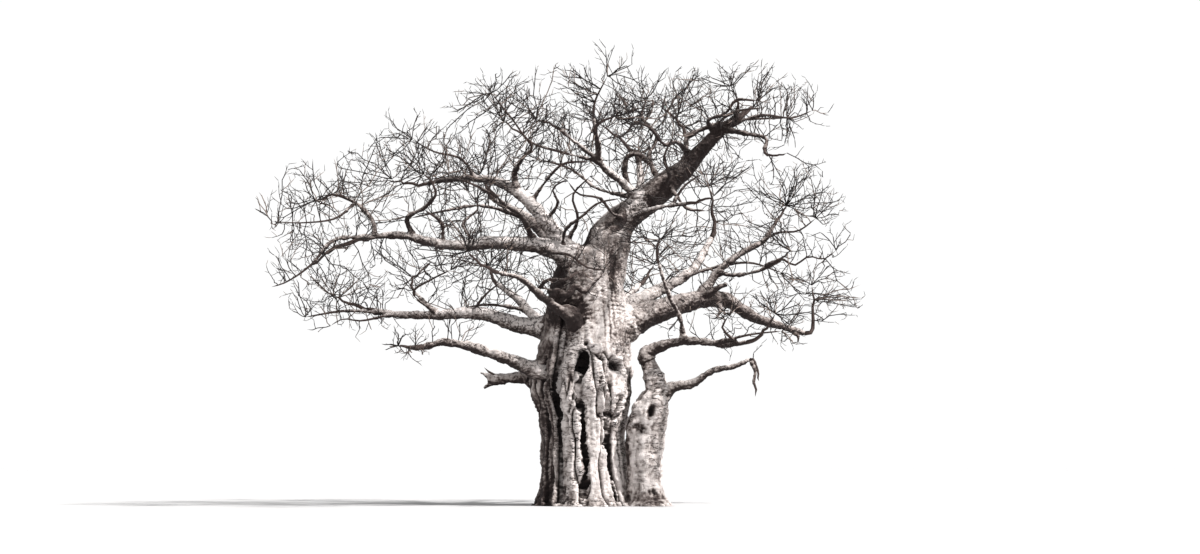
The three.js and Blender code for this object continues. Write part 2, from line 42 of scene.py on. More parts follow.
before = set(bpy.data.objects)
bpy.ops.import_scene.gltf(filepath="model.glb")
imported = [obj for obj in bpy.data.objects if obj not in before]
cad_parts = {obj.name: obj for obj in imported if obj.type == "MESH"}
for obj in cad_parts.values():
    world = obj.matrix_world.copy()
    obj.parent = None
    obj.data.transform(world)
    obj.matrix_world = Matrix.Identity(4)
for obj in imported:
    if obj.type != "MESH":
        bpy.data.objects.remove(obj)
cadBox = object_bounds()
print("loaded", len(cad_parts), "nodes")

# The photo's view: a long way off at eye height, tilted up to the middle of the tree
camera = {"eye": (0, -80, 1.7), "aim": (0.6, 0, 9.12), "lens": 60, "sensor": 36, "far": 1000}

# Soft sun from the right and high, over a sky that is white low down and dimmer overhead, so that the
# undersides and folds stay dark. The floor is pale enough to come out as white as the sky.
light = {
    "azimuth": 62, "height": 50, "strength": 7.6, "spread": 3, "colour": "#fffdfb",
    "sky": "#ffffff", "skyLow": 1.02, "skyHigh": 0.3, "lowTo": 0.27, "highFrom": 0.7,
    "floorColour": "#b2b2b3", "floorSize": 700, "floorRough": 0.9, "floorGap": 0.002,
}

# Outline of the trunk and the side stem: height, middle across, middle in depth, radius. Around and up
# are how finely each is divided.
trunk = {
    "rows": [
        (0, 0.06, 0, 2.32), (0.35, 0.0, 0, 1.98), (1.2, -0.08, 0, 1.82), (2.6, -0.1, 0, 1.78),
        (3.6, -0.1, 0, 1.9), (4.5, -0.14, 0, 2.14), (5.2, -0.1, 0, 2.1), (5.8, -0.04, 0, 1.96),
        (7.4, 0.06, 0, 1.68), (8.8, 0.05, 0, 1.46), (9.3, 0.1, 0, 1.36), (9.75, 0.22, 0, 1.18),
        (10.15, 0.38, 0, 0.92), (10.5, 0.52, 0, 0.5),
    ],
    # creases between the flutes: degrees right of the front, depth, half width in degrees, top
    "creases": [
        (-52, 0.24, 6, 6.2), (-32, 0.42, 7, 7.6), (1, 0.34, 6, 5.7), (38, 0.26, 6, 5.5),
        (70, 0.3, 7, 6.6), (102, 0.26, 6, 5.6), (136, 0.4, 7, 7.4), (168, 0.28, 6, 5.4),
        (200, 0.34, 7, 6.8), (232, 0.24, 6, 5.2), (260, 0.32, 6, 6.4), (284, 0.22, 5, 5.6),
    ],
    "around": 330, "up": 250,
}
sideStem = {
    "rows": [
        (0, 2.52, -0.9, 1.0), (0.3, 2.42, -0.9, 0.8), (0.9, 2.36, -0.9, 0.72), (1.8, 2.34, -0.9, 0.7),
        (3.0, 2.38, -0.9, 0.78), (3.8, 2.54, -0.9, 0.74), (4.2, 2.7, -0.88, 0.62),
        (4.55, 2.88, -0.86, 0.46), (4.72, 2.96, -0.85, 0.26),
    ],
    "creases": [(-60, 0.05, 12, 4.0), (20, 0.05, 12, 3.2), (110, 0.06, 12, 3.8), (200, 0.04, 12, 3.0)],
    "around": 120, "up": 120,
}
creaseFade = 0.8  # metres of height over which a crease dies out
creaseWander, creaseSway = 2.5, 1.1  # degrees that the creases sway, and how fast with height
stemBottom = -0.4  # the stems start underground and are cut at the ground later
usualTaper = 0.75


def grows(on, radii, tone, *route, at=0, taper=usualTaper):
    # what a limb grows on, its radii, how pale its bark is from root to tip, with painted light and shade
    # in it (darker on limbs that stand in shade, paler on those in the sun), and its route as (across,
    # depth, height) judged in the plane of the trunk. At is where on its parent it starts.
    return {"on": on, "radii": radii, "tone": tone, "route": route, "at": at, "taper": taper}


# The boughs, by the source's table
limbs = {
    "bough_leader": grows("trunk", (0.66, 0.16), (0.42, 0), (0.55, 0.1, 8.9), (1.15, 0, 11),
        (2.2, -0.2, 12), (4.1, -0.5, 13.6), (5.2, -0.9, 14.8), (6.1, -1.1, 15.5), taper=1.3),
    "bough_upper_left": grows("trunk", (0.5, 0.08), (1.05, 0.08), (-0.2, 0.1, 9.5), (-1.4, 0.3, 11.1),
        (-2.4, 0.7, 12.3), (-3.6, 1.2, 13), (-5.2, 1.9, 13.1), (-6.3, 2.4, 12.9), taper=0.6),
    "bough_left": grows("trunk", (0.5, 0.11), (0.98, 0.42), (0.2, -0.4, 9.5), (-1.5, -0.8, 10.3),
        (-3.4, -1.4, 10.5), (-5.6, -1.9, 10.4), (-7.4, -2.4, 10.8), (-8.8, -2.7, 10.7), taper=0.6),
    "bough_mid_left": grows("trunk", (0.44, 0.11), (0.98, 0.42), (-0.6, 0.2, 7), (-2.6, 0.5, 7.2),
        (-4.2, 0.9, 7.65), (-5.8, 1.4, 7.6), (-7.4, 2, 7.6), (-8.4, 2.3, 7.75)),
    "bough_lower_left": grows("trunk", (0.34, 0.13), (0.75, 0.3), (-1.2, -0.5, 5.1), (-2.8, -1.1, 5.7),
        (-4.2, -1.7, 6.2), (-5.6, -2.1, 6.5), (-6.5, -2.3, 6.3)),
    "stub_left": grows("trunk", (0.34, 0.17), 0.45, (-1.2, 0.3, 5.2), (-2.6, 0.5, 5.1), (-3.9, 0.7, 4.98)),
    "bough_front_left": grows("trunk", (0.26, 0.08), (0.12, 0.5), (0, -0.9, 7), (-0.9, -2.1, 7.7),
        (-1.7, -3, 8.3), (-2.7, -4.2, 9.1), (-3.5, -4.9, 9.3)),
    "bough_right": grows("trunk", (0.6, 0.1), (0.4, 0.25), (0.9, 0.2, 7), (2.8, 0.5, 7.7), (4.6, 0.9, 8.2),
        (5.6, 1.2, 8.2), (6.8, 1.6, 7.5), (8, 2, 7.1), (8.8, 2.2, 6.85), taper=0.95),
    "bough_back_left": grows("trunk", (0.46, 0.12), (0.1, 0.4), (-0.2, 0.4, 8.8), (-1.3, 2, 10.5),
        (-2.5, 4, 11.6), (-3.6, 5.6, 12.2)),
    "bough_back": grows("trunk", (0.46, 0.12), 0.4, (0.5, 0.4, 9.2), (1.3, 1.8, 11.1), (2.2, 3.6, 12.7),
        (2.2, 5, 13.7)),
    "bough_back_right": grows("trunk", (0.42, 0.12), 0.55, (0.8, 0.6, 7.6), (2.6, 2.6, 8.4),
        (4.3, 4.6, 9.4), (5.1, 6, 10.7)),
    "bough_back_low": grows("trunk", (0.4, 0.11), 0.5, (0.2, 0.8, 6.4), (0.7, 2.9, 7.3), (1.5, 4.9, 8.2),
        (2.2, 6.3, 8.8)),
    "bough_back_low_left": grows("trunk", (0.38, 0.1), 0.6, (-0.5, 0.8, 6.2), (-1.7, 2.8, 7.2),
        (-2.8, 4.6, 8.3), (-3.5, 5.8, 8.8)),
    "bough_elbow_rise": grows("side_stem", (0.3, 0.25), 0.3, (2.96, -0.85, 4.3), (2.75, -0.85, 5.1),
        (2.5, -0.85, 5.75)),
    "bough_elbow_reach": grows("bough_elbow_rise", (0.25, 0.09), 0.3, (2.72, -0.95, 6.2), (3.4, -1.3, 6.45),
        (4.5, -1.9, 6.55), (5.6, -2.6, 6.4), (6.5, -3.1, 6.5), at=1),
    "bough_slender": grows("bough_elbow_reach", (0.12, 0.06), 0.5, (3.8, -2.1, 7.5), (3.4, -2.5, 8.3),
        (3.15, -2.9, 9), (2.95, -3.2, 9.7), at=0.42),
    "bough_low_right": grows("side_stem", (0.27, 0.07), 0.4, (2.85, -0.85, 4.2), (3.5, -1, 4.7),
        (4.3, -1.3, 4.85), (5.1, -1.6, 5.35), (6, -1.9, 5.55), (6.6, -2, 5.8)),
    "bough_upper_left_riser": grows("bough_upper_left", (0.15, 0.06), 0.3, (-2.85, 0.6, 13.3),
        (-2.5, 0.1, 13.95), (-2.2, -0.4, 14.25), at=0.5),
    "bough_left_inner_riser": grows("bough_left", (0.14, 0.06), 0.2, (-2.6, -1.7, 11.6), (-3.2, -2.6, 12),
        (-3.6, -3.4, 12.4), at=0.26),
    "bough_left_mid_riser": grows("bough_left", (0.12, 0.06), 0.2, (-7.15, -2.5, 11.5), (-6.5, -2.7, 11.9),
        (-6.1, -2.9, 12.3), at=0.8),
    "bough_left_end_riser": grows("bough_left", (0.11, 0.06), 0.2, (-8.55, -2.4, 11.4), (-9.1, -2, 12),
        (-9.7, -1.7, 12.35), at=0.96),
    "bough_mid_left_riser": grows("bough_mid_left", (0.12, 0.06), 0.4, (-6.5, 1.9, 8.15), (-6.9, 2.3, 8.6),
        at=0.66),
    "bough_right_rise": grows("bough_right", (0.22, 0.08), (0.35, 0.25), (5.4, 1.2, 9.4), (6.3, 1.5, 10.1),
        (7.2, 1.8, 10.6), (7.6, 2.1, 11.2), at=0.45),
    "bough_right_low_rise": grows("bough_right_rise", (0.12, 0.06), 0.3, (6, 0.7, 9.2), (6.9, 0.3, 9.35),
        (7.5, 0.1, 9.6), at=0.3),
    "bough_upper_centre": grows("bough_leader", (0.22, 0.08), (1, 0.5), (1.4, -1.2, 13.05),
        (0.65, -2.2, 13.7), (0.5, -3.2, 14.6), (0.4, -3.9, 15.1), at=0.44),
    "bough_upper_centre_left": grows("bough_upper_centre", (0.11, 0.06), 0.6, (-0.4, -3.2, 14.6),
        (-1, -3.7, 15.1), at=0.62),
    "bough_arch": grows("bough_leader", (0.17, 0.09), 0.15, (1.6, -0.1, 13.4), (1.75, -0.2, 14),
        (2.15, -0.3, 14.1), (2.6, -0.4, 13.7), at=0.4),
    "bough_leader_riser": grows("bough_leader", (0.17, 0.08), 0.15, (4.1, 0.1, 14.3), (4.05, 0.6, 14.9),
        at=0.68),
    "bough_hooked": grows("bough_leader", (0.13, 0.06), 0, (6.5, -1.6, 14.95), (7.3, -2, 14.75),
        (7.25, -2.3, 14.3), at=0.93),
    "bough_right_pale": grows("bough_leader", (0.16, 0.07), (0.85, 0.5), (2.5, -1.2, 11.8), (3.3, -2.2, 12),
        (4.1, -3.1, 12.1), at=0.28),
}
# Crooked side limbs, placed the same way. The thick part of each is fused to the bough that carries it.
sideLimbs = {
    "frontKnot": grows("bough_front_left", (0.27, 0.1), -0.1, (-0.3, -1.4, 7.2), (-0.6, -1.75, 7.7),
        (-1.1, -1.8, 7.85), (-1.15, -1.75, 8.3), (-1.5, -1.6, 8.6)),
    "frontAcross": grows("bough_front_left", (0.21, 0.045), (-0.15, 0.3), (-1.35, -1.7, 8.1),
        (-1.1, -1.85, 8.5), (-0.7, -1.95, 8.4), (-0.4, -1.9, 8.72), (0, -1.85, 8.55), (0.3, -1.8, 8.85),
        (0.75, -1.7, 9.3)),
    "crossHigh": grows("bough_left", (0.1, 0.03), 0.1, (-1.6, -0.9, 10.3), (-1.3, -1.9, 10.1),
        (-0.6, -2.5, 10), (0.1, -2.7, 9.5), (0.9, -2.7, 9.4)),
    "crossLow": grows("bough_front_left", (0.1, 0.03), 0.1, (-1.9, -2.6, 8.6), (-1.5, -3, 9),
        (-0.8, -3.1, 9), (-0.2, -2.9, 9.4)),
    "endDroop": grows("bough_left", (0.1, 0.025), 0.45, (-8.7, -2.7, 10.7), (-10.1, -3, 10.6),
        (-11, -3.2, 9.6), (-12, -3.3, 8.9), (-12.6, -3.3, 8.7)),
    "endFar": grows("bough_left_end_riser", (0.06, 0.02), 0.3, (-9.3, -1.9, 12.1), (-10, -2.2, 11.5),
        (-11.4, -2.5, 11.3), (-12.6, -2.6, 11.35)),
    "leftHook": grows("bough_left", (0.1, 0.035), 0.2, (-5.7, -1.9, 10.45), (-5.8, -2.1, 11.3),
        (-6.5, -2.5, 11.85)),
    "leftInner": grows("bough_left_inner_riser", (0.07, 0.03), 0.2, (-3.5, -3.3, 12.35), (-4.6, -4, 12.9),
        (-5.5, -4.5, 13.2)),
    "leftBack": grows("bough_left", (0.09, 0.025), 0.2, (-4.4, -1.6, 10.45), (-4.9, -1, 11.3),
        (-4.3, -0.6, 11.9), (-4.7, -0.2, 12.6)),
    "midOut": grows("bough_mid_left", (0.1, 0.03), 0.45, (-8.2, 2.25, 7.7), (-9.6, 2.5, 7.75),
        (-11.2, 2.8, 7.5)),
    "midLow": grows("bough_mid_left", (0.07, 0.02), 0.3, (-7.8, 2.1, 7.6), (-9, 1.9, 7.35),
        (-9.7, 1.7, 7.42), (-10.2, 1.6, 7.15)),
    "midRise": grows("bough_mid_left", (0.09, 0.03), 0.2, (-5.9, 1.4, 7.6), (-6.9, 0.9, 8.5),
        (-6.2, 0.6, 9), (-5.4, 0.4, 9.4)),
    "midInner": grows("bough_mid_left", (0.08, 0.03), 0.2, (-4.6, 1, 7.6), (-4, 0.6, 8.4),
        (-3.4, 0.4, 8.9)),
    "upperTwist": grows("bough_upper_left", (0.1, 0.035), 0.3, (-2.2, 0.6, 12.1), (-1.5, 0.3, 13.1),
        (-0.9, 0, 13.7), (0.2, -0.3, 13.8)),
    "forkRise": grows("bough_upper_left", (0.09, 0.03), 0.3, (-0.8, 0.2, 10.4), (-0.3, -0.3, 11.5),
        (-0.5, -0.6, 12.4), (0.2, -0.7, 13.2)),
    "forkInner": grows("bough_upper_left", (0.08, 0.03), 0.2, (-1.6, 0.6, 11.4), (-1.1, 0, 12.1),
        (-1.3, -0.4, 12.7), (-0.7, -0.6, 13.1)),
    "leaderInner": grows("bough_leader", (0.09, 0.03), 0.2, (1.9, -0.3, 11.4), (1.1, -1, 11.7),
        (0.6, -1.5, 12.3), (-0.3, -1.8, 12.5), (-0.7, -2, 13)),
    "lowDroop": grows("bough_low_right", (0.09, 0.04), 0.3, (6.65, -2.1, 5.75), (6.8, -2.1, 5.35),
        (6.75, -2.15, 4.9), (6.85, -2.2, 4.55), (6.8, -2.2, 4.3)),
    "stubSplitHigh": grows("stub_left", (0.17, 0.05), 0.6, (-3.3, 0.62, 5.03), (-3.75, 0.66, 5.1),
        (-4.2, 0.7, 5.3)),
    "stubSplitLow": grows("stub_left", (0.16, 0.06), 0.2, (-3.2, 0.6, 4.98), (-3.7, 0.72, 4.88),
        (-4.05, 0.78, 4.66)),
    "stubSplinter": grows("stub_left", (0.07, 0.03), 0.7, (-3.4, 0.5, 5.1), (-3.8, 0.5, 5.28),
        (-4.05, 0.45, 5.5)),
    "leaderInnerTop": grows("bough_leader", (0.12, 0.04), 0.1, (4.2, -0.5, 14.1), (3.7, -1.3, 14.6),
        (3.2, -1.7, 14.5), (2.6, -1.9, 15.2), (1.9, -2, 15.5)),
    "leaderOuterTop": grows("bough_leader", (0.12, 0.04), 0.1, (5.2, -0.6, 15), (5, -1.5, 15.5),
        (5.7, -1.8, 15.8), (6.1, -1.9, 16.3), (7, -2, 16.3)),
    "forkFront": grows("bough_left", (0.09, 0.03), 0.15, (-0.9, -0.75, 10.2), (-0.8, -1.2, 11),
        (-0.1, -1.5, 11.6), (0.5, -1.6, 12.1), (1.4, -1.8, 12.3)),
    "upperOut": grows("bough_upper_left", (0.08, 0.025), 0.3, (-4.4, 1.6, 13.05), (-5, 1.2, 13.9),
        (-6.1, 0.9, 14.2), (-7, 0.8, 14.7)),
    "centreUp": grows("bough_upper_centre", (0.085, 0.02), 0.5, (0.4, -3.8, 15.05), (0.35, -4, 16.1),
        (0.9, -4.1, 17.3)),
    "centreLow": grows("bough_upper_centre", (0.08, 0.025), 0.4, (0.6, -2.4, 13.8), (-1, -2.6, 14.2),
        (-2.2, -2.8, 14.6), (-3, -2.9, 15.6), (-3.8, -3, 16.6)),
    "leaderFront": grows("bough_leader", (0.11, 0.03), 0.15, (3, -0.4, 12.7), (3.4, -1.4, 13.2),
        (3.2, -2.2, 14), (3.6, -2.8, 14.9)),
    "leaderBack": grows("bough_leader", (0.12, 0.04), 0.1, (3, -0.3, 12.9), (2.6, 0.3, 14),
        (2.9, 0.8, 14.9), (2.3, 1.2, 15.6), (2.5, 1.5, 16.4)),
    "leaderLow": grows("bough_leader", (0.11, 0.04), 0.2, (3.3, -0.45, 13), (3.7, -0.9, 12.4),
        (4.1, -1.1, 11.9), (4.9, -1.3, 11.8)),
    "topRight": grows("bough_leader_riser", (0.11, 0.03), 0.15, (4.05, 0.5, 14.8), (5.2, 0.4, 15.3),
        (6.2, 0.3, 15.5), (8.2, 0.2, 15.6)),
    "topKnot": grows("bough_leader", (0.11, 0.03), 0.12, (5.1, -0.9, 14.8), (5.6, -1.3, 15.6),
        (6.3, -1.5, 15.9), (7.2, -1.7, 16)),
    "topRise": grows("bough_leader", (0.09, 0.025), 0.12, (6, -1.1, 15.4), (6.2, -1.4, 16.2),
        (5.9, -1.7, 16.9)),
    "topOut": grows("bough_leader", (0.09, 0.025), 0.12, (5.9, -1.1, 15.35), (7.2, -0.8, 15.7),
        (8.4, -0.6, 15.6), (9.2, -0.5, 15.9)),
    "rightStub": grows("bough_right", (0.15, 0.1), 0.3, (4.5, 0.9, 8.2), (5.2, 0.6, 8.6), (5.7, 0.5, 8.85)),
    "rightHook": grows("bough_right", (0.09, 0.045), 0.2, (5.3, 1.1, 8.2), (5.45, 0.8, 7.8),
        (5.2, 0.7, 7.4)),
    "rightOut": grows("bough_right_low_rise", (0.065, 0.025), 0.2, (7.3, 0.15, 9.55), (7.9, -0.1, 9.85),
        (8.4, -0.3, 9.6), (9, -0.5, 9.95), (9.6, -0.7, 9.85), (10.1, -0.8, 10.2)),
    "rightUp": grows("bough_right_rise", (0.08, 0.025), 0.2, (7.1, 1.75, 10.5), (7.7, 1.2, 10.9),
        (8.6, 0.9, 11), (9.3, 0.7, 11.5)),
    "rightTip": grows("bough_right", (0.08, 0.04), 0.3, (8.3, 2.1, 6.95), (8.55, 2.1, 6.75),
        (8.5, 2.1, 6.45)),
    "reachHook": grows("bough_elbow_reach", (0.08, 0.03), 0.2, (6.1, -2.9, 6.45), (5.5, -3.1, 7.1),
        (5.8, -3.3, 7.6)),
    "reachUpper": grows("bough_elbow_reach", (0.08, 0.025), 0.2, (5.2, -2.4, 6.45), (6.6, -3.3, 6.8),
        (7.9, -3.8, 6.95)),
    "backAcross": grows("bough_back", (0.11, 0.03), 0.3, (1.9, 3.1, 12.35), (0.5, 3.9, 12.7),
        (-0.6, 4.5, 13.5), (-1.9, 4.7, 13.9)),
    "backOut": grows("bough_back_left", (0.11, 0.03), 0.3, (-2.5, 4, 11.6), (-4.3, 4, 12),
        (-5.6, 3.6, 11.8), (-7, 4.2, 11.5)),
    "backReach": grows("bough_back_right", (0.11, 0.03), 0.3, (3.7, 3.9, 9.05), (5.2, 4.1, 9.5),
        (6.6, 3.9, 9.7), (7.9, 4.2, 9.3)),
    "lowAcross": grows("bough_back_low", (0.1, 0.03), 0.3, (1.2, 4.2, 7.9), (0.2, 5.3, 8.2),
        (-0.9, 6, 8.5)),
    "lowOut": grows("bough_back_low_left", (0.1, 0.03), 0.3, (-2.3, 3.7, 7.8), (-3.9, 3.9, 8),
        (-5.2, 4.1, 7.8)),
    "paleUp": grows("bough_right_pale", (0.08, 0.03), 0.4, (3.5, -2.4, 12), (4, -2.4, 12.8),
        (4.7, -2.6, 13.3)),
}
# Side limbs are fused to the boughs down to this radius. Those that get thinner go on as twigs, which
# start a little before it and just inside the bark.
fuse = {"from": 0.05, "steps": 60, "overlap": 1.2, "inside": 0.96}
seatGap = 0.00035

# Masses of twigs in the source's order: the heart and the reach of each space, and the piece of twigs
# that they are joined into
masses = {
    "bough_leader": ((6.6, -0.6, 15.9), (2.8, 3, 1.85), "top_right"),
    "bough_leader_riser": ((3.4, 1.4, 15.7), (2.8, 3.1, 2.05), "top_right"),
    "bough_hooked": ((7.9, -3.2, 14.2), (2, 2.5, 1.6), "top_right"),
    "bough_upper_centre": ((1, -4.2, 15.5), (2.7, 3.2, 2.2), "top_middle"),
    "bough_upper_centre_left": ((-1.7, -3.9, 15.4), (2.6, 3.2, 2.2), "top_middle"),
    "bough_upper_left_riser": ((-3, -0.9, 15.1), (2.9, 3.1, 2.2), "top_middle"),
    "bough_upper_left": ((-7.4, 3.2, 13), (3.1, 3.3, 2.1), "upper_left"),
    "bough_left": ((-10.4, -3.2, 9.9), (2.9, 2.8, 1.6), "left"),
    "bough_left_end_riser": ((-10.5, -1, 12.2), (2.8, 3, 1.7), "left"),
    "bough_left_mid_riser": ((-6.4, -3.4, 13), (2.9, 3, 2.3), "upper_left"),
    "bough_left_inner_riser": ((-3.8, -5, 12.9), (2.7, 3.2, 2.3), "upper_left"),
    "bough_front_left": ((-4.4, -5.8, 9.9), (2.8, 2.8, 1.5), "left"),
    "bough_mid_left": ((-9.6, 2.9, 8.2), (2.7, 2.8, 1.5), "low_left"),
    "bough_mid_left_riser": ((-6.4, 3.2, 9.4), (2.9, 2.9, 1.7), "low_left"),
    "bough_lower_left": ((-7.2, -2.5, 6.35), (0.95, 1, 0.7), "low_left"),
    "bough_right": ((9, 2.3, 8.2), (2.3, 2.8, 1.7), "right"),
    "bough_right_rise": ((8, 2.3, 11.8), (2.7, 3.1, 2.2), "right"),
    "bough_right_low_rise": ((8, -0.8, 10), (2.4, 2.6, 1.5), "right"),
    "bough_right_pale": ((4.9, -4.3, 12.3), (2.8, 3.2, 1.9), "front_right"),
    "bough_slender": ((3, -4.2, 10.4), (2.3, 2.5, 1.6), "front_right"),
    "bough_elbow_reach": ((7.3, -3.8, 7.3), (2.2, 2.5, 1.3), "front_right"),
    "bough_low_right": ((6.85, -2.1, 5.2), (0.6, 0.6, 1), "front_right"),
    "bough_back_left": ((-4, 6, 13), (3.4, 3.4, 2.4), "back_left"),
    "bough_back": ((1, 5.8, 14.9), (3.2, 3.3, 2.2), "back_right"),
    "bough_back_right": ((5, 6.2, 12.2), (3.3, 3.4, 2.3), "back_right"),
    "bough_back_low": ((2.6, 6.8, 9.4), (3, 3, 1.7), "back_right"),
    "bough_back_low_left": ((-3.8, 6.5, 9.4), (3.2, 3.1, 1.7), "back_left"),
}

up = Vector((0, 0, 1))
goldenAngle = math.pi * (3 - math.sqrt(5))
wholeRange = 2 ** 32
lowBits = wholeRange - 1
treeSeed = 7


def mix(seed, index):  # a whole number drawn from a seed or from many, the same as the source draws
    n = (seed * 747796405 + ((index + 1) * 277803737 & lowBits)) & lowBits
    n = ((n ^ (n >> 16)) * 2246822519) & lowBits
    n = ((n ^ (n >> 13)) * 3266489917) & lowBits
    return n ^ (n >> 16)


def chance(seed, index):  # a number from 0 to 1
    return mix(seed, index) / wholeRange


def strays(seeds, first):  # three numbers from -1 to 1 for each seed
    return np.stack([chance(seeds, first + axis) for axis in range(3)], axis=1) * 2 - 1


def within(span, fraction):
    return span[0] + (span[1] - span[0]) * fraction


def place(spot):  # from the plane of the trunk back or forward along the line of sight
    across, depth, height = spot
    away, eyeHeight = -camera["eye"][1], camera["eye"][2]
    scale = (away + depth) / away
    return Vector((across * scale, depth, eyeHeight + (height - eyeHeight) * scale))


def lengthOf(vectors):
    return np.linalg.norm(vectors, axis=-1)


class Route:
    # a curve sampled finely, read by the share of its length
    def __init__(self, samples):
        self.samples = np.array(samples)
        steps = lengthOf(np.diff(self.samples, axis=0))
        self.lengths = np.concatenate(([0], np.cumsum(steps)))
        self.length = self.lengths[-1]

    def at(self, share):
        run = share * self.length
        return Vector([np.interp(run, self.lengths, self.samples[:, axis]) for axis in range(3)])

    def spots(self, shares):
        return np.array([tuple(self.at(share)) for share in shares])

    def heading(self, share):
        step = 0.002
        return (self.at(min(1, share + step)) - self.at(max(0, share - step))).normalized()


def smoothRoute(points, perLeg=60):  # a centripetal Catmull-Rom spline through the points
    before = points[0] * 2 - points[1]
    after = points[-1] * 2 - points[-2]
    run = [before, *points, after]
    samples = [points[0]]
    for leg in range(len(points) - 1):
        p0, p1, p2, p3 = run[leg:leg + 4]
        d0, d1, d2 = math.sqrt((p1 - p0).length), math.sqrt((p2 - p1).length), math.sqrt((p3 - p2).length)
        t1 = ((p1 - p0) / d0 - (p2 - p0) / (d0 + d1) + (p2 - p1) / d1) * d1
        t2 = ((p2 - p1) / d1 - (p3 - p1) / (d1 + d2) + (p3 - p2) / d2) * d1
        for step in range(1, perLeg + 1):
            t = step / perLeg
            turn = (p2 - p1) * 3 - t1 * 2 - t2
            pull = (p1 - p2) * 2 + t1 + t2
            samples.append(p1 + t1 * t + turn * t ** 2 + pull * t ** 3)
    return Route(samples)


def limbRoute(limb, routes):
    points = [place(spot) for spot in limb["route"]]
    parent = routes.get(limb["on"])
    if parent and limb["at"] < 1:
        points.insert(0, parent.at(limb["at"]))
    elif parent:
        onward = parent.heading(1)
        tip = parent.at(1) + onward * seatGap
        points[:0] = [tip, tip + onward * limb["radii"][0]]
    return smoothRoute(points)


routes = {}
for name, limb in limbs.items():
    routes[name] = limbRoute(limb, routes)
for name, limb in sideLimbs.items():
    routes[name] = smoothRoute([place(spot) for spot in limb["route"]])
everyLimb = {**limbs, **sideLimbs}


def radiusAt(limb, share):
    thick, thin = limb["radii"]
    return thick + (thin - thick) * share ** limb["taper"]


# Materials. Hex colours are sRGB, turned to linear here.
def linear(hexColour):
    values = [int(hexColour[at:at + 2], 16) / 255 for at in (1, 3, 5)]
    return tuple(v / 12.92 if v <= 0.04045 else ((v + 0.055) / 1.055) ** 2.4 for v in values) + (1,)


def addNode(tree, kind, settings=None, inputs=None, links=None):
    node = tree.nodes.new("ShaderNode" + kind)
    for name, value in (settings or {}).items():
        setattr(node, name, value)
    for name, value in (inputs or {}).items():
        node.inputs[name].default_value = value
    for name, source in (links or {}).items():
        tree.links.new(source, node.inputs[name])
    return node


def newMaterial(name):
    material = bpy.data.materials.new(name)
    material.use_nodes = True
    material.node_tree.nodes.clear()
    return material, material.node_tree


def setStops(ramp, stops):  # the colours along a ramp
    marks = ramp.color_ramp.elements
    while len(marks) < len(stops):
        marks.new(0.5)
    for mark, (spot, colour) in zip(marks, stops):
        mark.position = spot
        mark.color = linear(colour)


# Bark of a grown baobab: smooth thick hide, folded where it swells. It is pale and warm grey in the sun,
# blotched and streaked with grey-brown old scale. Painted shade makes it dark underneath and nearly black
# deep in the folds, and painted light makes its tops and ridges paler.
# Each pattern is its size in metres and its detail. Counts is how far it shifts the tone, and stretch
# how it is drawn out on each part.
bark = {
    "pale": "#d8d0cd", "light": "#aaa19d", "middle": "#766c68", "dark": "#3e3330", "deep": "#211614",
    # fold is the colour of the painted shade deep in the folds and hollows
    "foldShade": "#140c0a", "stops": {"deep": 0, "dark": 0.16, "middle": 0.36, "light": 0.6, "pale": 0.9},
    "patch": (1.3, 6), "blotch": (0.24, 7), "speckle": (0.07, 5), "streak": (0.2, 5), "line": (0.34, 3),
    "counts": {"patch": 0.9, "blotch": 0.85, "speckle": 0.6, "streak": 0.5},
    "fleck": ((0.33, "#ffffff"), (0.38, "#000000")), "fleckDark": 0.75,
    "lineWide": 0.042, "lineCore": 0.4, "lineCounts": 0.95, "linedTo": (0.44, 0.58), "linedLeast": 0.15,
    "pit": 0.035, "pitRise": 0.25, "blotchRise": 1.6, "bump": 0.8, "bumpDeep": 0.06,
    "roughness": 0.9, "ior": 1.45, "noise": 0.65,
    "stretch": {"trunk": {"usual": (1, 1, 0.6), "streak": (1, 1, 0.12), "line": (0.5, 0.5, 2.2)},
                "boughs": {"usual": (1, 1, 1), "streak": (0.5, 0.5, 0.5), "line": (1.2, 1.2, 1.2)}},
}


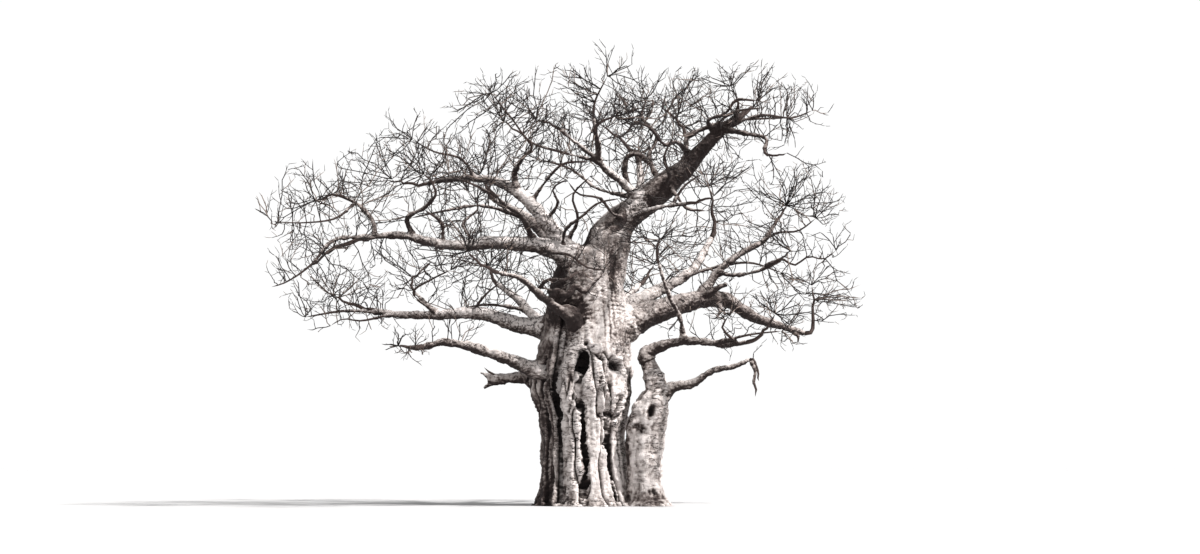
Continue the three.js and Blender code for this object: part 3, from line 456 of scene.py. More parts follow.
def barkMaterial(limb):
    material, tree = newMaterial("Baobab bark, " + limb)
    where = addNode(tree, "TexCoord").outputs["Object"]
    stretch = bark["stretch"][limb]

    def pattern(part):
        size, detail = bark[part]
        spread = addNode(tree, "Mapping", inputs={"Scale": stretch.get(part, stretch["usual"])},
                         links={"Vector": where})
        grain = {"Scale": 1 / size, "Detail": detail, "Roughness": bark["noise"]}
        return addNode(tree, "TexNoise", inputs=grain, links={"Vector": spread.outputs[0]}).outputs["Fac"]

    level = addNode(tree, "Attribute", {"attribute_name": "tone"}).outputs["Fac"]
    # how much painted shade lies in the folds at each place
    foldShade = addNode(tree, "Attribute", {"attribute_name": "foldShade"}).outputs["Fac"]
    patterns = {}
    for part, counts in bark["counts"].items():
        patterns[part] = pattern(part)
        centred = addNode(tree, "Math", {"operation": "SUBTRACT"}, {1: 0.5}, {0: patterns[part]}).outputs[0]
        level = addNode(tree, "Math", {"operation": "MULTIPLY_ADD"}, {1: counts},
                        {0: centred, 2: level}).outputs[0]
    hide = addNode(tree, "ValToRGB", links={"Fac": level})
    setStops(hide, [(spot, bark[part]) for part, spot in bark["stops"].items()])
    flecks = addNode(tree, "ValToRGB", links={"Fac": patterns["blotch"]})
    setStops(flecks, bark["fleck"])
    flecked = addNode(tree, "Math", {"operation": "MULTIPLY"}, {1: bark["fleckDark"]},
                      {0: flecks.outputs["Color"]}).outputs[0]
    # thin dark lines of painted shade for the wrinkles, where a stretched pattern passes its middle, in
    # patches only
    fromMiddle = addNode(tree, "Math", {"operation": "SUBTRACT"}, {1: 0.5}, {0: pattern("line")}).outputs[0]
    gap = addNode(tree, "Math", {"operation": "ABSOLUTE"}, links={0: fromMiddle}).outputs[0]
    line = addNode(tree, "MapRange", links={"Value": gap}, inputs={
        "From Min": bark["lineWide"] * bark["lineCore"], "From Max": bark["lineWide"],
        "To Min": bark["lineCounts"], "To Max": 0}).outputs[0]
    there = addNode(tree, "MapRange", links={"Value": patterns["patch"]}, inputs={
        "From Min": bark["linedTo"][0], "From Max": bark["linedTo"][1],
        "To Min": 1, "To Max": bark["linedLeast"]}).outputs[0]
    lined = addNode(tree, "Math", {"operation": "MULTIPLY"}, links={0: line, 1: there}).outputs[0]
    colour = hide.outputs["Color"]
    for over, share in (("dark", flecked), ("deep", lined), ("foldShade", foldShade)):
        colour = addNode(tree, "Mix", {"data_type": "RGBA"}, {7: linear(bark[over])},
                         {0: share, 6: colour}).outputs[2]
    pits = addNode(tree, "TexVoronoi", inputs={"Scale": 1 / bark["pit"]}, links={"Vector": where})
    grain = addNode(tree, "Math", {"operation": "MULTIPLY_ADD"}, {1: bark["pitRise"]},
                    {0: pits.outputs["Distance"], 2: patterns["speckle"]}).outputs[0]
    rise = addNode(tree, "Math", {"operation": "MULTIPLY_ADD"}, {1: bark["blotchRise"]},
                   {0: patterns["blotch"], 2: grain}).outputs[0]
    bump = addNode(tree, "Bump", inputs={"Strength": bark["bump"], "Distance": bark["bumpDeep"]},
                   links={"Height": rise})
    shader = addNode(tree, "BsdfPrincipled", inputs={"Roughness": bark["roughness"], "IOR": bark["ior"]},
                     links={"Base Color": colour, "Normal": bump.outputs[0]})
    addNode(tree, "OutputMaterial", links={"Surface": shader.outputs[0]})
    return material


# Bark of young twigs: thin, dull and dark grey-brown, paler on the oldest ones. The colours are dealt out
# by order and spray, so each is plain, and ridges a centimetre apart break up the light. Real ones are
# finer, and would not show.
twigBark = {
    "colours": {"limb": "#362925", "dark": "#150c0a", "middle": "#1a110e", "pale": "#6c5f58"},
    "shares": (1, 1, 2, 2, 1, 3), "ridge": 0.01, "detail": 3, "bump": 0.3, "bumpDeep": 0.003,
    "roughness": 0.8, "ior": 1.45,
}


def twigMaterial(name, colour):
    material, tree = newMaterial(name)
    where = addNode(tree, "TexCoord").outputs["Object"]
    ridges = addNode(tree, "TexNoise", links={"Vector": where},
                     inputs={"Scale": 1 / twigBark["ridge"], "Detail": twigBark["detail"]})
    bump = addNode(tree, "Bump", links={"Height": ridges.outputs["Fac"]},
                   inputs={"Strength": twigBark["bump"], "Distance": twigBark["bumpDeep"]})
    inputs = {"Base Color": linear(colour), "Roughness": twigBark["roughness"], "IOR": twigBark["ior"]}
    shader = addNode(tree, "BsdfPrincipled", inputs=inputs, links={"Normal": bump.outputs[0]})
    addNode(tree, "OutputMaterial", links={"Surface": shader.outputs[0]})
    return material


trunkBark, boughBark = barkMaterial("trunk"), barkMaterial("boughs")
twigLooks = [twigMaterial("Twig bark, " + part, colour) for part, colour in twigBark["colours"].items()]
print("materials made")


def inScene(name, data):
    made = bpy.data.objects.new(name, data)
    bpy.context.scene.collection.objects.link(made)
    return made


# Pieces and meshes
def newPiece(name, mesh, materials, nodes):
    piece = inScene(name, mesh)
    for material in materials:
        mesh.materials.append(material)
    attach(piece, "root")
    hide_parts(*nodes)
    return piece


def fillHoles(bm):
    bmesh.ops.holes_fill(bm, edges=[edge for edge in bm.edges if edge.is_boundary], sides=0)


def addSheet(bm, around, along, spot):  # a sheet rolled into a closed tube, spot(turn, share) places it
    sheet = bmesh.ops.create_grid(bm, x_segments=around, y_segments=along, size=0.5)["verts"]
    turns = np.array([vert.co.x + 0.5 for vert in sheet])
    shares = np.array([vert.co.y + 0.5 for vert in sheet])
    for vert, co in zip(sheet, spot(turns, shares)):
        vert.co = co
    rims = [vert for vert, turn in zip(sheet, turns) if turn < 1e-4 or turn > 1 - 1e-4]
    bmesh.ops.remove_doubles(bm, verts=rims, dist=1e-4)
    fillHoles(bm)


def rowsAt(rows, heights):
    table = np.array(rows)
    return [np.interp(heights, table[:, 0], table[:, column]) for column in (1, 2, 3)]


def creaseDepth(creases, degrees, heights):
    depth = np.zeros_like(heights)
    for at, deep, wide, top in creases:
        away = np.abs((degrees - at + 540) % 360 - 180)
        fade = np.clip((top - heights) / creaseFade + 0.5, 0, 1)
        depth += deep * fade * np.exp(-away / wide)
    return depth


def stemSpots(stem, turns, shares):
    rows = stem["rows"]
    heights = stemBottom + shares * (rows[-1][0] - stemBottom)
    across, depth, radius = rowsAt(rows, heights)
    degrees = turns * 360
    reach = radius - creaseDepth(stem["creases"], degrees, heights)
    wander = creaseWander * np.sin(heights * creaseSway + across)
    radians = np.radians(degrees + wander)
    return np.stack((across + reach * np.sin(radians), depth - reach * np.cos(radians), heights), axis=1)


def outsideStem(point):  # how far a point is from the surface of the trunk and the side stem
    gaps = []
    for stem in (trunk, sideStem):
        across, depth, radius = rowsAt(stem["rows"], point.z)
        gaps.append(math.hypot(point.x - across, point.y - depth) - radius)
    return min(gaps)


def outsideParent(limb, point):
    if limb["on"] not in routes:
        return outsideStem(point)
    parent = routes[limb["on"]]
    apart = lengthOf(parent.samples - np.array(point))
    nearest = int(np.argmin(apart))
    share = parent.lengths[nearest] / parent.length
    return apart[nearest] - radiusAt(limbs[limb["on"]], share)


# How a bough swells where it leaves what carries it, how finely it is divided, and how its root in the
# trunk's own mesh thins out to end inside the bough's
collar = {"swell": 0.42, "fade": 0.8, "ring": 0.07, "sides": 20, "fewest": 6, "root": 1.05, "thin": 0.35,
          "thinFrom": 0.6}


def limbSpots(name, turns, shares, end, rootOnly):
    limb, route = everyLimb[name], routes[name]
    rings = np.unique(shares)
    frames = []
    side = None
    for share in rings:
        along = end * share
        point, heading = route.at(along), route.heading(along)
        if side is None:
            side = heading.orthogonal().normalized()
        side = (side - heading * side.dot(heading)).normalized()
        thick = radiusAt(limb, along)
        out = max(0, outsideParent(limb, point))
        thick *= 1 + collar["swell"] * math.exp(-out / (collar["fade"] * limb["radii"][0]))
        if rootOnly:
            thinning = max(0, (share - collar["thinFrom"]) / (1 - collar["thinFrom"]))
            thick *= collar["root"] - collar["thin"] * thinning
        frames.append((point, side, heading.cross(side), (thick,)))
    points, sides, crosses, thicks = (np.array([list(one[part]) for one in frames]) for part in range(4))
    ring = np.searchsorted(rings, shares - 1e-9)
    angle = turns * 2 * np.pi
    outward = np.cos(angle)[:, None] * sides[ring] + np.sin(angle)[:, None] * crosses[ring]
    return points[ring] + outward * thicks[ring]


def addLimb(bm, name, end=1, rootOnly=False):
    along = max(collar["fewest"], round(routes[name].length * end / collar["ring"]))
    addSheet(bm, collar["sides"], along,
             lambda turns, shares: limbSpots(name, turns, shares, end, rootOnly))


def writeMesh(bm, mesh):
    bm.to_mesh(mesh)
    bm.free()


def fusedMesh(bm, name, relief):
    bmesh.ops.recalc_face_normals(bm, faces=bm.faces)
    mesh = bpy.data.meshes.new(name)
    writeMesh(bm, mesh)
    rough = inScene(name + "_rough", mesh)
    remesh = rough.modifiers.new("fuse", "REMESH")
    remesh.mode = "VOXEL"
    remesh.voxel_size = relief["voxel"]
    seen = rough.evaluated_get(bpy.context.evaluated_depsgraph_get())
    fused = bpy.data.meshes.new_from_object(seen)
    bpy.data.objects.remove(rough)
    bpy.data.meshes.remove(mesh)
    smooth = bmesh.new()
    smooth.from_mesh(fused)
    for _ in range(relief["smoothing"]):
        bmesh.ops.smooth_vert(smooth, verts=smooth.verts, factor=0.5,
                              use_axis_x=True, use_axis_y=True, use_axis_z=True)
    writeMesh(smooth, fused)
    fused.name = name
    return fused


def meshArrays(mesh):
    count = len(mesh.vertices)
    places = np.empty(count * 3)
    normals = np.empty(count * 3)
    mesh.vertices.foreach_get("co", places)
    mesh.vertex_normals.foreach_get("vector", normals)
    return places.reshape(-1, 3), normals.reshape(-1, 3)


def setAttribute(mesh, name, values):
    layer = mesh.attributes.new(name, "FLOAT", "POINT")
    layer.data.foreach_set("value", values.astype(np.float32))


fractal = (0.9, 2.0)  # how fast the finer octaves fade, and how much finer each is


def roughness(places, size, stretch, octaves):  # fractal noise from about -1 to 1
    side, upward = 1 / size, stretch / size
    return np.array([
        noise.fractal((x * side, y * side, z * upward), *fractal, octaves) for x, y, z in places])


# Seams on the trunk as the photo shows them: each is a depth and a half width in metres, and a line of
# (degrees right of the front, height)
trunkSeams = {
    "left": (0.26, 0.07, ((-36, 7.4), (-38, 6.4), (-37, 5.4), (-36, 4.2), (-35, 2.4), (-36, 0.2))),
    "leftEdge": (0.14, 0.05, ((-55, 5.8), (-53, 4), (-56, 2), (-54, 0.2))),
    "leftFlute": (0.06, 0.04, ((-46, 5.2), (-44, 3.8), (-45, 2.2), (-43, 0.6))),
    "fromHollow": (0.16, 0.05, ((1, 5.3), (-5, 4.6), (-11, 4.1), (-18, 3.6))),
    "middle": (0.24, 0.08, ((-9, 4.2), (0, 3.8), (1, 2.6), (5, 1.4), (-2, 0.5))),
    "right": (0.22, 0.07, ((26, 4.6), (30, 4.1), (37, 2.6), (41, 1.2), (41, 0.3))),
    "rightShort": (0.12, 0.05, ((22, 5), (19, 4.3))),
    "thin": (0.1, 0.04, ((50, 3.6), (54, 2.4), (56, 1))),
    "hollowArch": (0.24, 0.08, ((33, 5.7), (46, 5.55), (57, 5.05), (62, 4.4))),
    "lip": (0.2, 0.06, ((2, 6.35), (7, 6.05), (14, 5.9), (22, 5.72))),
    "crack": (0.035, 0.03, ((9, 6.3), (28, 6.4), (48, 6.25))),
    "foldHigh": (0.05, 0.04, ((33, 4.28), (48, 4.3), (60, 4.2))),
    "foldLow": (0.05, 0.04, ((33, 4), (48, 3.95), (60, 4))),
    "foldUnder": (0.2, 0.07, ((30, 3.62), (45, 3.45), (58, 3.7))),
    "collarUnder": (0.12, 0.06, ((-38, 7.7), (-26, 7.3), (-12, 7.5))),
}
# Hollows and swellings: degrees and height, half width and half height, and how deep, less than nothing
# where it swells
trunkMarks = {
    "hollowLeft": ((-2, 5.65), (0.2, 0.42), 0.5),
    "hollowRight": ((42, 5.45), (0.3, 0.16), 0.3),
    "blob": ((11, 6.15), (0.36, 0.19), -0.24),
    "barrel": ((45, 4.1), (0.42, 0.62), -0.22),
    "knotLeft": ((-30, 6.9), (0.3, 0.22), -0.14),
    "backHollow": ((150, 4.9), (0.22, 0.4), 0.4),
    "backBlob": ((215, 6), (0.4, 0.25), -0.16),
    "leftKnot": ((-95, 5), (0.35, 0.3), -0.15),
}
sideMarks = {
    "knotHollow": ((4, 3.72), (0.13, 0.22), 0.26),
    "knotRim": ((8, 4.02), (0.16, 0.09), -0.08),
    "scar": ((-22, 3.1), (0.26, 0.14), 0.07),
    "scarLow": ((-8, 2.95), (0.14, 0.1), 0.06),
    "footPit": ((20, 0.55), (0.18, 0.1), 0.1),
}
# How the seams' lips stand beside them, in shares of the depth and of the half width, and how far the
# bark's unevenness strays the edges of seams, marks and shades
seamLip = {"high": 0.25, "away": 2.4}
edgeStray = {"seam": 0.05, "mark": 0.3, "shade": 0.5}
# Wrinkles across the flutes, and the finer lumps and pits of the bark, in metres. Under, over, hollow and
# ridge set painted shade and light in the tone: darker on faces that look down and in hollows, paler on
# faces that look up and on ridges, with painted shade in the folds. Near is where the stems' own relief
# gives way to the limbs', and ribs are the long folds that run down the trunk.
trunkRelief = {
    "wrinkle": 0.17, "wrinkleDepth": 0.05, "lump": 0.55, "lumpDepth": 0.12, "fine": 0.16,
    "fineDepth": 0.022, "smoothFrom": (5.9, 6.9), "smoothTo": 0.45, "voxel": 0.0492, "smoothing": 1,
    "shadeUnder": 0.3, "lightOver": 0.1, "shadeHollow": 8, "hollowFold": 16, "foldFrom": 0.018, "around": 9,
    "lightRidge": 0.3, "nearFull": 1.4, "nearSoft": 0.35, "seamFold": 3, "sideFold": 3.2, "creaseFold": 3.2,
    "creaseFrom": 0.2, "rib": 1.1, "ribStretch": 0.24, "ribDepth": 0.26, "ribWidth": 0.075, "ribTop": 7,
    "ribSoft": 1.2, "ribLeast": 0.12, "ribFold": 0.35,
}
# The patterns that all bark shares: stretches up and down, how lumps bend the wrinkles, and their patches
barkNoise = {
    "lumpStretch": 0.7, "fineStretch": 1.6, "bendByLump": 0.06, "bendByFine": 0.05, "swing": 2.5,
    "crest": 0.35, "patch": 1.3, "patchStretch": 0.8, "patchSharp": 3, "patchFrom": 0.3,
}


def lineGap(line, arc, heights, radius):  # distance on the unrolled bark from a line of (degrees, height)
    best = np.full_like(arc, 9.0)
    spots = [(math.radians(degrees), height) for degrees, height in line]
    for (a1, h1), (a2, h2) in zip(spots, spots[1:]):
        around = np.arctan2(np.sin(arc - a1), np.cos(arc - a1)) * radius
        run, rise = (a2 - a1) * radius, h2 - h1
        along = np.clip((around * run + (heights - h1) * rise) / (run ** 2 + rise ** 2), 0, 1)
        gap = np.hypot(around - along * run, heights - h1 - along * rise)
        best = np.minimum(best, gap)
    return best


def seamDepth(arc, heights, radius, stray):
    inward = np.zeros_like(arc)
    for deep, wide, line in trunkSeams.values():
        gap = lineGap(line, arc, heights, radius) + stray
        inward += deep * np.exp(-np.maximum(gap, 0) / wide)
        inward -= seamLip["high"] * deep * np.exp(-((gap - seamLip["away"] * wide) / wide) ** 2)
    return inward


def markedAt(marks, arc, heights, radius, stray):  # the marks as soft-edged ovals on the unrolled bark
    total = np.zeros_like(arc)
    for (degrees, height), (wide, tall), amount in marks.values():
        turned = arc - math.radians(degrees)
        around = np.arctan2(np.sin(turned), np.cos(turned)) * radius
        off = np.hypot(around / wide, (heights - height) / tall) + stray
        total += amount / (1 + np.maximum(off, 0) ** 6)
    return total


def aroundStem(stem, places):  # the turn round a stem from its front, its radius there, and the gap to it
    across, depth, radius = rowsAt(stem["rows"], places[:, 2])
    right, front = places[:, 0] - across, depth - places[:, 1]
    return np.arctan2(right, front), radius, np.hypot(right, front) - radius


print("building the trunk")
# A bough's root in the trunk's mesh ends this many of its radii outside, as found in this many samples
rootPast, rootSamples = 1.3, 80
trunkForm = bmesh.new()
for stem in (trunk, sideStem):
    addSheet(trunkForm, stem["around"], stem["up"], lambda turns, shares: stemSpots(stem, turns, shares))
for name, limb in limbs.items():
    if limb["on"] in ("trunk", "side_stem"):
        shares = np.linspace(0, 1, rootSamples)
        outside = np.array([outsideStem(routes[name].at(share)) for share in shares])
        root = float(shares[np.argmax(outside > rootPast * limb["radii"][0])])
        addLimb(trunkForm, name, root or 1, rootOnly=True)
trunkMesh = fusedMesh(trunkForm, "trunk_bark", trunkRelief)
print("trunk fused", len(trunkMesh.vertices))

# How far apart the limbs are sampled for their tone, in metres, and how many samples are compared
toneStep, toneNearest = 0.1, 8


def limbTones(places):  # the tone of the limb whose surface is nearest each place, at that share of it
    spots, radii, tones = [], [], []
    for name, limb in everyLimb.items():
        rootTone, tipTone = np.broadcast_to(limb["tone"], 2)
        for share in np.linspace(0, 1, max(2, int(routes[name].length / toneStep))):
            spots.append(routes[name].at(share))
            radii.append(radiusAt(limb, share))
            tones.append(rootTone + (tipTone - rootTone) * share)
    tree = kdtree.KDTree(len(spots))
    for index, spot in enumerate(spots):
        tree.insert(spot, index)
    tree.balance()
    found = [min(tree.find_n(spot, toneNearest), key=lambda one: abs(one[2] - radii[one[1]]))[1]
             for spot in places]
    return np.array(tones)[found]


# How pale the trunk's bark is by height, and the painted shade round its left side, which faces away from
# the sun
trunkTone = {"heights": (0, 1, 5.5, 7.6, 8.6, 9.7), "tones": (0.52, 0.66, 0.7, 0.74, 0.7, 0.46),
             "darkSide": (-112, -38), "sideDark": 0.55, "sideSoft": 12}
# Darker and paler marks: degrees and height, half width and half height in metres, and how much darker
trunkShades = {
    # knots: dark knotty bark with the painted shadow of the front left bough over it
    "knots": ((-24, 7.55), (0.85, 0.75), 0.9),
    # upperLeft: painted shade on the upper trunk's left side
    "upperLeft": ((-56, 8.6), (0.6, 1), 0.3),
    # underFork: painted shade under the fork
    "underFork": ((-12, 9), (0.5, 0.25), 0.35),
    "leaderEdge": ((48, 9), (0.22, 0.9), 0.5),
    # midRoot and leftFlute: paler patches inside the painted shade of the left side
    "midRoot": ((-46, 6.8), (0.4, 0.36), -0.5),
    "leftFlute": ((-52, 3.1), (0.14, 2.2), -0.2),
    # lip: painted light on the lip, where it faces up to the sun
    "lip": ((10, 6.15), (0.4, 0.2), -0.25),
    "streakInner": ((25, 7.3), (0.05, 0.95), 0.45),
    "streakMiddle": ((33, 7.15), (0.05, 1.1), 0.45),
    "streakOuter": ((41, 7.5), (0.06, 0.8), 0.4),
    "flakyEdge": ((80, 4.7), (0.3, 0.7), 0.6),
    "besideHollow": ((-14, 5), (0.2, 0.5), 0.35),
    "seamBlotch": ((2, 1.9), (0.14, 1.5), 0.45),
    "underRight": ((62, 6.7), (0.7, 0.5), 0.35),
    "backUpper": ((160, 8.2), (1.2, 0.9), 0.35),
    "backLow": ((205, 3), (0.3, 1.4), 0.4),
}
sideShades = {
    "knot": ((4, 3.7), (0.22, 0.3), 0.55),
    "scar": ((-22, 3.05), (0.34, 0.18), 0.45),
    # seam: painted shade where the side stem faces the trunk
    "seam": ((-82, 2.3), (0.22, 2), 0.5),
    "foot": ((10, 0.3), (0.8, 0.3), 0.3),
}


def hollowness(mesh, places, normals, rounds):  # how far each place lies under its surroundings, in metres
    ends = np.empty(len(mesh.edges) * 2, np.int32)
    mesh.edges.foreach_get("vertices", ends)
    start, end = ends.reshape(-1, 2).T
    count = np.bincount(start, minlength=len(places)) + np.bincount(end, minlength=len(places))
    smooth = places
    for _ in range(rounds):
        around = np.stack([
            np.bincount(start, smooth[end, axis], len(places))
            + np.bincount(end, smooth[start, axis], len(places)) for axis in range(3)], axis=1)
        smooth = around / np.maximum(count, 1)[:, None]
    return np.sum((smooth - places) * normals, axis=1)


def stemDetail(relief, places, fine, tones):
    # on the trunk and the side stem: how far the bark goes inward, how dark the painted shade in its folds
    # is, and its tone with painted shade round the left side
    heights = places[:, 2]
    arc, radius, trunkGap = aroundStem(trunk, places)
    sideArc, sideRadius, sideGap = aroundStem(sideStem, places)
    onSide = sideGap < trunkGap
    near = np.clip(relief["nearFull"] - np.minimum(trunkGap, sideGap) / relief["nearSoft"], 0, 1)
    stray = fine * edgeStray["mark"]
    cut = seamDepth(arc, heights, radius, fine * edgeStray["seam"])
    cut += markedAt(trunkMarks, arc, heights, radius, stray)
    sideCut = markedAt(sideMarks, sideArc, heights, sideRadius, stray)
    degrees = np.degrees(arc)
    creased = np.maximum(creaseDepth(trunk["creases"], degrees % 360, heights) - relief["creaseFrom"], 0)
    foldShade = np.where(onSide, sideCut * relief["sideFold"],
                    cut * relief["seamFold"] + creased * relief["creaseFold"])
    # painted shade over the trunk's left side, away from the sun
    (low, high), soft = trunkTone["darkSide"], trunkTone["sideSoft"]
    shaded = np.clip((degrees - low) / soft + 0.5, 0, 1) * np.clip((high - degrees) / soft + 0.5, 0, 1)
    level = np.interp(heights, trunkTone["heights"], trunkTone["tones"])
    level -= trunkTone["sideDark"] * shaded * ~onSide
    stray = fine * edgeStray["shade"]
    level -= np.where(onSide, markedAt(sideShades, sideArc, heights, sideRadius, stray),
                      markedAt(trunkShades, arc, heights, radius, stray))
    ribs = np.abs(roughness(places, relief["rib"], relief["ribStretch"], 3))
    valley = np.exp(-ribs / relief["ribWidth"]) * near * ~onSide
    valley *= np.clip((relief["ribTop"] - heights) / relief["ribSoft"], relief["ribLeast"], 1)
    inward = np.where(onSide, sideCut, cut) * near + relief["ribDepth"] * valley
    return inward, foldShade * near + relief["ribFold"] * valley ** 3, np.where(near > 0.5, level, tones)


def finishBark(mesh, relief, isTrunk):
    places, normals = meshArrays(mesh)
    big = roughness(places, relief["lump"], barkNoise["lumpStretch"], 3)
    fine = roughness(places, relief["fine"], barkNoise["fineStretch"], 3)
    bent = places[:, 2] + barkNoise["bendByLump"] * big + barkNoise["bendByFine"] * fine
    wrinkles = np.sin(bent * 2 * np.pi / relief["wrinkle"] + barkNoise["swing"] * big)
    patches = roughness(places, barkNoise["patch"], barkNoise["patchStretch"], 2)
    patchy = np.clip(barkNoise["patchSharp"] * patches - barkNoise["patchFrom"], 0, 1)
    wrinkles = -np.maximum(wrinkles - barkNoise["crest"], 0) * patchy
    inward, foldShade, tones = 0, 0, limbTones(places)
    if isTrunk:
        big = big * np.interp(places[:, 2], relief["smoothFrom"], (1, relief["smoothTo"]))
        inward, foldShade, tones = stemDetail(relief, places, fine, tones)
    height = relief["lumpDepth"] * big + relief["fineDepth"] * fine + relief["wrinkleDepth"] * wrinkles
    moved = places + normals * (height - inward)[:, None]
    mesh.vertices.foreach_set("co", moved.ravel())
    mesh.update()
    moved, normals = meshArrays(mesh)
    hollow = hollowness(mesh, moved, normals, relief["around"])
    # painted shade in the folds, with more where the surface lies hollow
    foldShade = np.clip(foldShade + np.clip(relief["hollowFold"] * (hollow - relief["foldFrom"]), 0, 1), 0, 1)
    # Painted shade and light in the tone: darker on faces that look down and where the surface lies hollow,
    # paler on faces that look up and on ridges.
    underShade = np.clip(-normals[:, 2], 0, 1) * relief["shadeUnder"]
    over = np.clip(normals[:, 2], 0, 1) * relief["lightOver"]
    hollowShade = np.clip(relief["shadeHollow"] * hollow, -relief["lightRidge"], 0.5)
    setAttribute(mesh, "tone", tones - underShade + over - hollowShade)
    setAttribute(mesh, "foldShade", foldShade)
    mesh.shade_smooth()


def cutAtGround(mesh):
    bm = bmesh.new()
    bm.from_mesh(mesh)
    every = [*bm.verts, *bm.edges, *bm.faces]
    bmesh.ops.bisect_plane(bm, geom=every, plane_co=(0, 0, 0), plane_no=(0, 0, 1), clear_inner=True)
    fillHoles(bm)
    writeMesh(bm, mesh)


finishBark(trunkMesh, trunkRelief, True)
cutAtGround(trunkMesh)
newPiece("trunk_bark", trunkMesh, [trunkBark], ["trunk", "side_stem"])
print("trunk finished", len(trunkMesh.polygons))

# Boughs in five pieces, fused at their forks
boughPieces = {
    "boughs_left": ["bough_upper_left", "bough_upper_left_riser", "bough_left", "bough_left_inner_riser",
                    "bough_left_mid_riser", "bough_left_end_riser", "bough_front_left"],
    "boughs_low_left": ["bough_mid_left", "bough_mid_left_riser", "bough_lower_left", "stub_left",
                        "bough_back_low_left"],
    "boughs_top": ["bough_leader", "bough_leader_riser", "bough_hooked", "bough_arch",
                   "bough_upper_centre", "bough_upper_centre_left", "bough_right_pale"],
    "boughs_right": ["bough_right", "bough_right_rise", "bough_right_low_rise", "bough_elbow_rise",
                     "bough_elbow_reach", "bough_slender", "bough_low_right"],
    "boughs_back": ["bough_back_left", "bough_back", "bough_back_right", "bough_back_low"],
}
boughRelief = {
    "wrinkle": 0.16, "wrinkleDepth": 0.012, "lump": 0.4, "lumpDepth": 0.05, "fine": 0.12,
    "fineDepth": 0.018, "voxel": 0.033, "smoothing": 1, "shadeUnder": 0.95, "lightOver": 0.3,
    "shadeHollow": 9, "hollowFold": 14, "foldFrom": 0.02, "around": 8, "lightRidge": 0.05,
}
for pieceName, names in boughPieces.items():
    form = bmesh.new()
    for name in names:
        addLimb(form, name)
    for name, limb in sideLimbs.items():
        if limb["on"] in names:
            shares = np.linspace(0, 1, fuse["steps"])
            addLimb(form, name, float(shares[radiusAt(limb, shares) >= fuse["from"]][-1]))
    mesh = fusedMesh(form, pieceName, boughRelief)
    finishBark(mesh, boughRelief, False)
    newPiece(pieceName, mesh, [boughBark], names)
    print(pieceName, len(mesh.polygons))


# Twigs. The source's rule gives each mass its stem and the ends of its sprays and shoots. Between them
# buds lie on a loose lattice, also along the boughs, and each bud joins on by a short way back to a limb,
# so that crooked branches fork out to every end. Two finer orders of twigs grow off those.
stemTwig = {"endRadius": 0.03, "pastHeart": 0.4, "parts": 8, "samples": 60, "crook": 0.06}
sprays = {
    "perMetre": 3, "least": 4, "starts": (0.2, 1), "legs": 2, "tries": (0.97, 0.8, 0.62, 0.45),
    "crook": 0.14,
}
shoots = {
    "starts": (0.45, 0.85, 0.28, 0.62, 0.97), "angle": (32, 62), "length": (0.42, 0.66), "tries": 4,
    "lift": 0.25,
}
buds = {
    "gap": 1.07, "loose": 0.42, "nearBough": 1.5, "boughGap": 1.0, "boughFrom": 0.3, "belowCounts": 3.6,
    "mostBeside": 0.7, "apart": 0.6, "everySample": 4,
}
branches = {
    "longWay": 0.95, "turnCost": 1.3, "hangCost": 0.8, "hangFrom": 0.2, "offRoot": 1.6,
    "longest": 2.3, "tries": 4, "samples": 5, "tip": 0.02, "grow": 0.57, "ofLimb": 0.7, "parts": 4,
    "crook": 0.055, "pull": 0.22, "sides": 5, "thickSides": 7, "thickFrom": 0.05,
}
# Two finer orders: a twig every so many metres of the path that carries it, with its angle in degrees and
# its length in metres
finer = [
    {"every": 0.46, "angle": (28, 62), "length": (0.35, 0.95), "legs": 5, "least": 3,
     "radii": (0.018, 0.012), "first": 0.9, "crook": 0.2, "lift": 0.07},
    {"every": 0.28, "angle": (30, 62), "length": (0.15, 0.38), "legs": 3, "least": 2,
     "radii": (0.013, 0.009), "first": 0.9, "crook": 0.2, "lift": 0.1},
]
# How full each part of the crown is against the usual, where the photo shows it thinner or denser
fullness = {
    "bough_hooked": 0.08, "bough_arch": 0.2, "bough_leader": 1.6, "bough_leader_riser": 1.2,
    "bough_right_pale": 0.16, "bough_right_rise": 0.55, "bough_right_low_rise": 0.42, "bough_right": 0.55,
    "bough_slender": 0.46, "bough_elbow_reach": 0.5, "bough_low_right": 0.1,
    "bough_upper_left_riser": 0.5, "bough_upper_centre_left": 0.65, "bough_left_inner_riser": 0.26,
    "bough_upper_left": 0.42, "bough_left_mid_riser": 0.38, "bough_left": 0.42, "bough_left_end_riser": 0.5,
    "bough_mid_left": 0.5, "bough_mid_left_riser": 0.36, "bough_front_left": 0.32,
    "bough_upper_centre": 0.52,
    "bough_back_left": 0.32, "bough_back": 0.38, "bough_back_right": 0.3, "bough_back_low": 0.5,
    "bough_back_low_left": 0.34,
}
# The limbs that carry no branches of their own, or carry them only from this share of their length on
bareTo = {
    "frontKnot": 0.4, "frontAcross": 0.3, "rightStub": 1, "rightHook": 1, "rightTip": 1,
    "stubSplitHigh": 1, "stubSplitLow": 1, "stubSplinter": 1,
    "lowDroop": 1, "stub_left": 1, "bough_elbow_rise": 1, "bough_lower_left": 0.75, "bough_low_right": 0.6,
    "bough_elbow_reach": 0.5, "bough_right": 0.4, "bough_mid_left": 0.4, "bough_leader": 0.2,
    "bough_upper_left": 0.25, "bough_left": 0.3,
}
# The crown's small cells, the room left round limbs and between masses, and how far apart the roots lie
# that branches may start from, in metres
crownCell = {"size": 0.1, "limb": 0.09, "past": 1.06, "along": 0.3, "above": 0.2}
clearance = {"limb": 0.07, "sample": 0.18, "space": 0.035, "samples": 6, "ball": 0.3, "other": 1.1}
rootSteps = {"bough": 0.2, "side": 0.25}
# Which draw of a seed each choice takes
draws = {"ringTurn": 99, "aside": 20, "offset": 30, "shoot": 50, "angle": 0, "turn": 10, "length": 20,
         "bend": 40, "look": 90, "bud": 110, "stem": 500, "order": 900, "run": 1000}

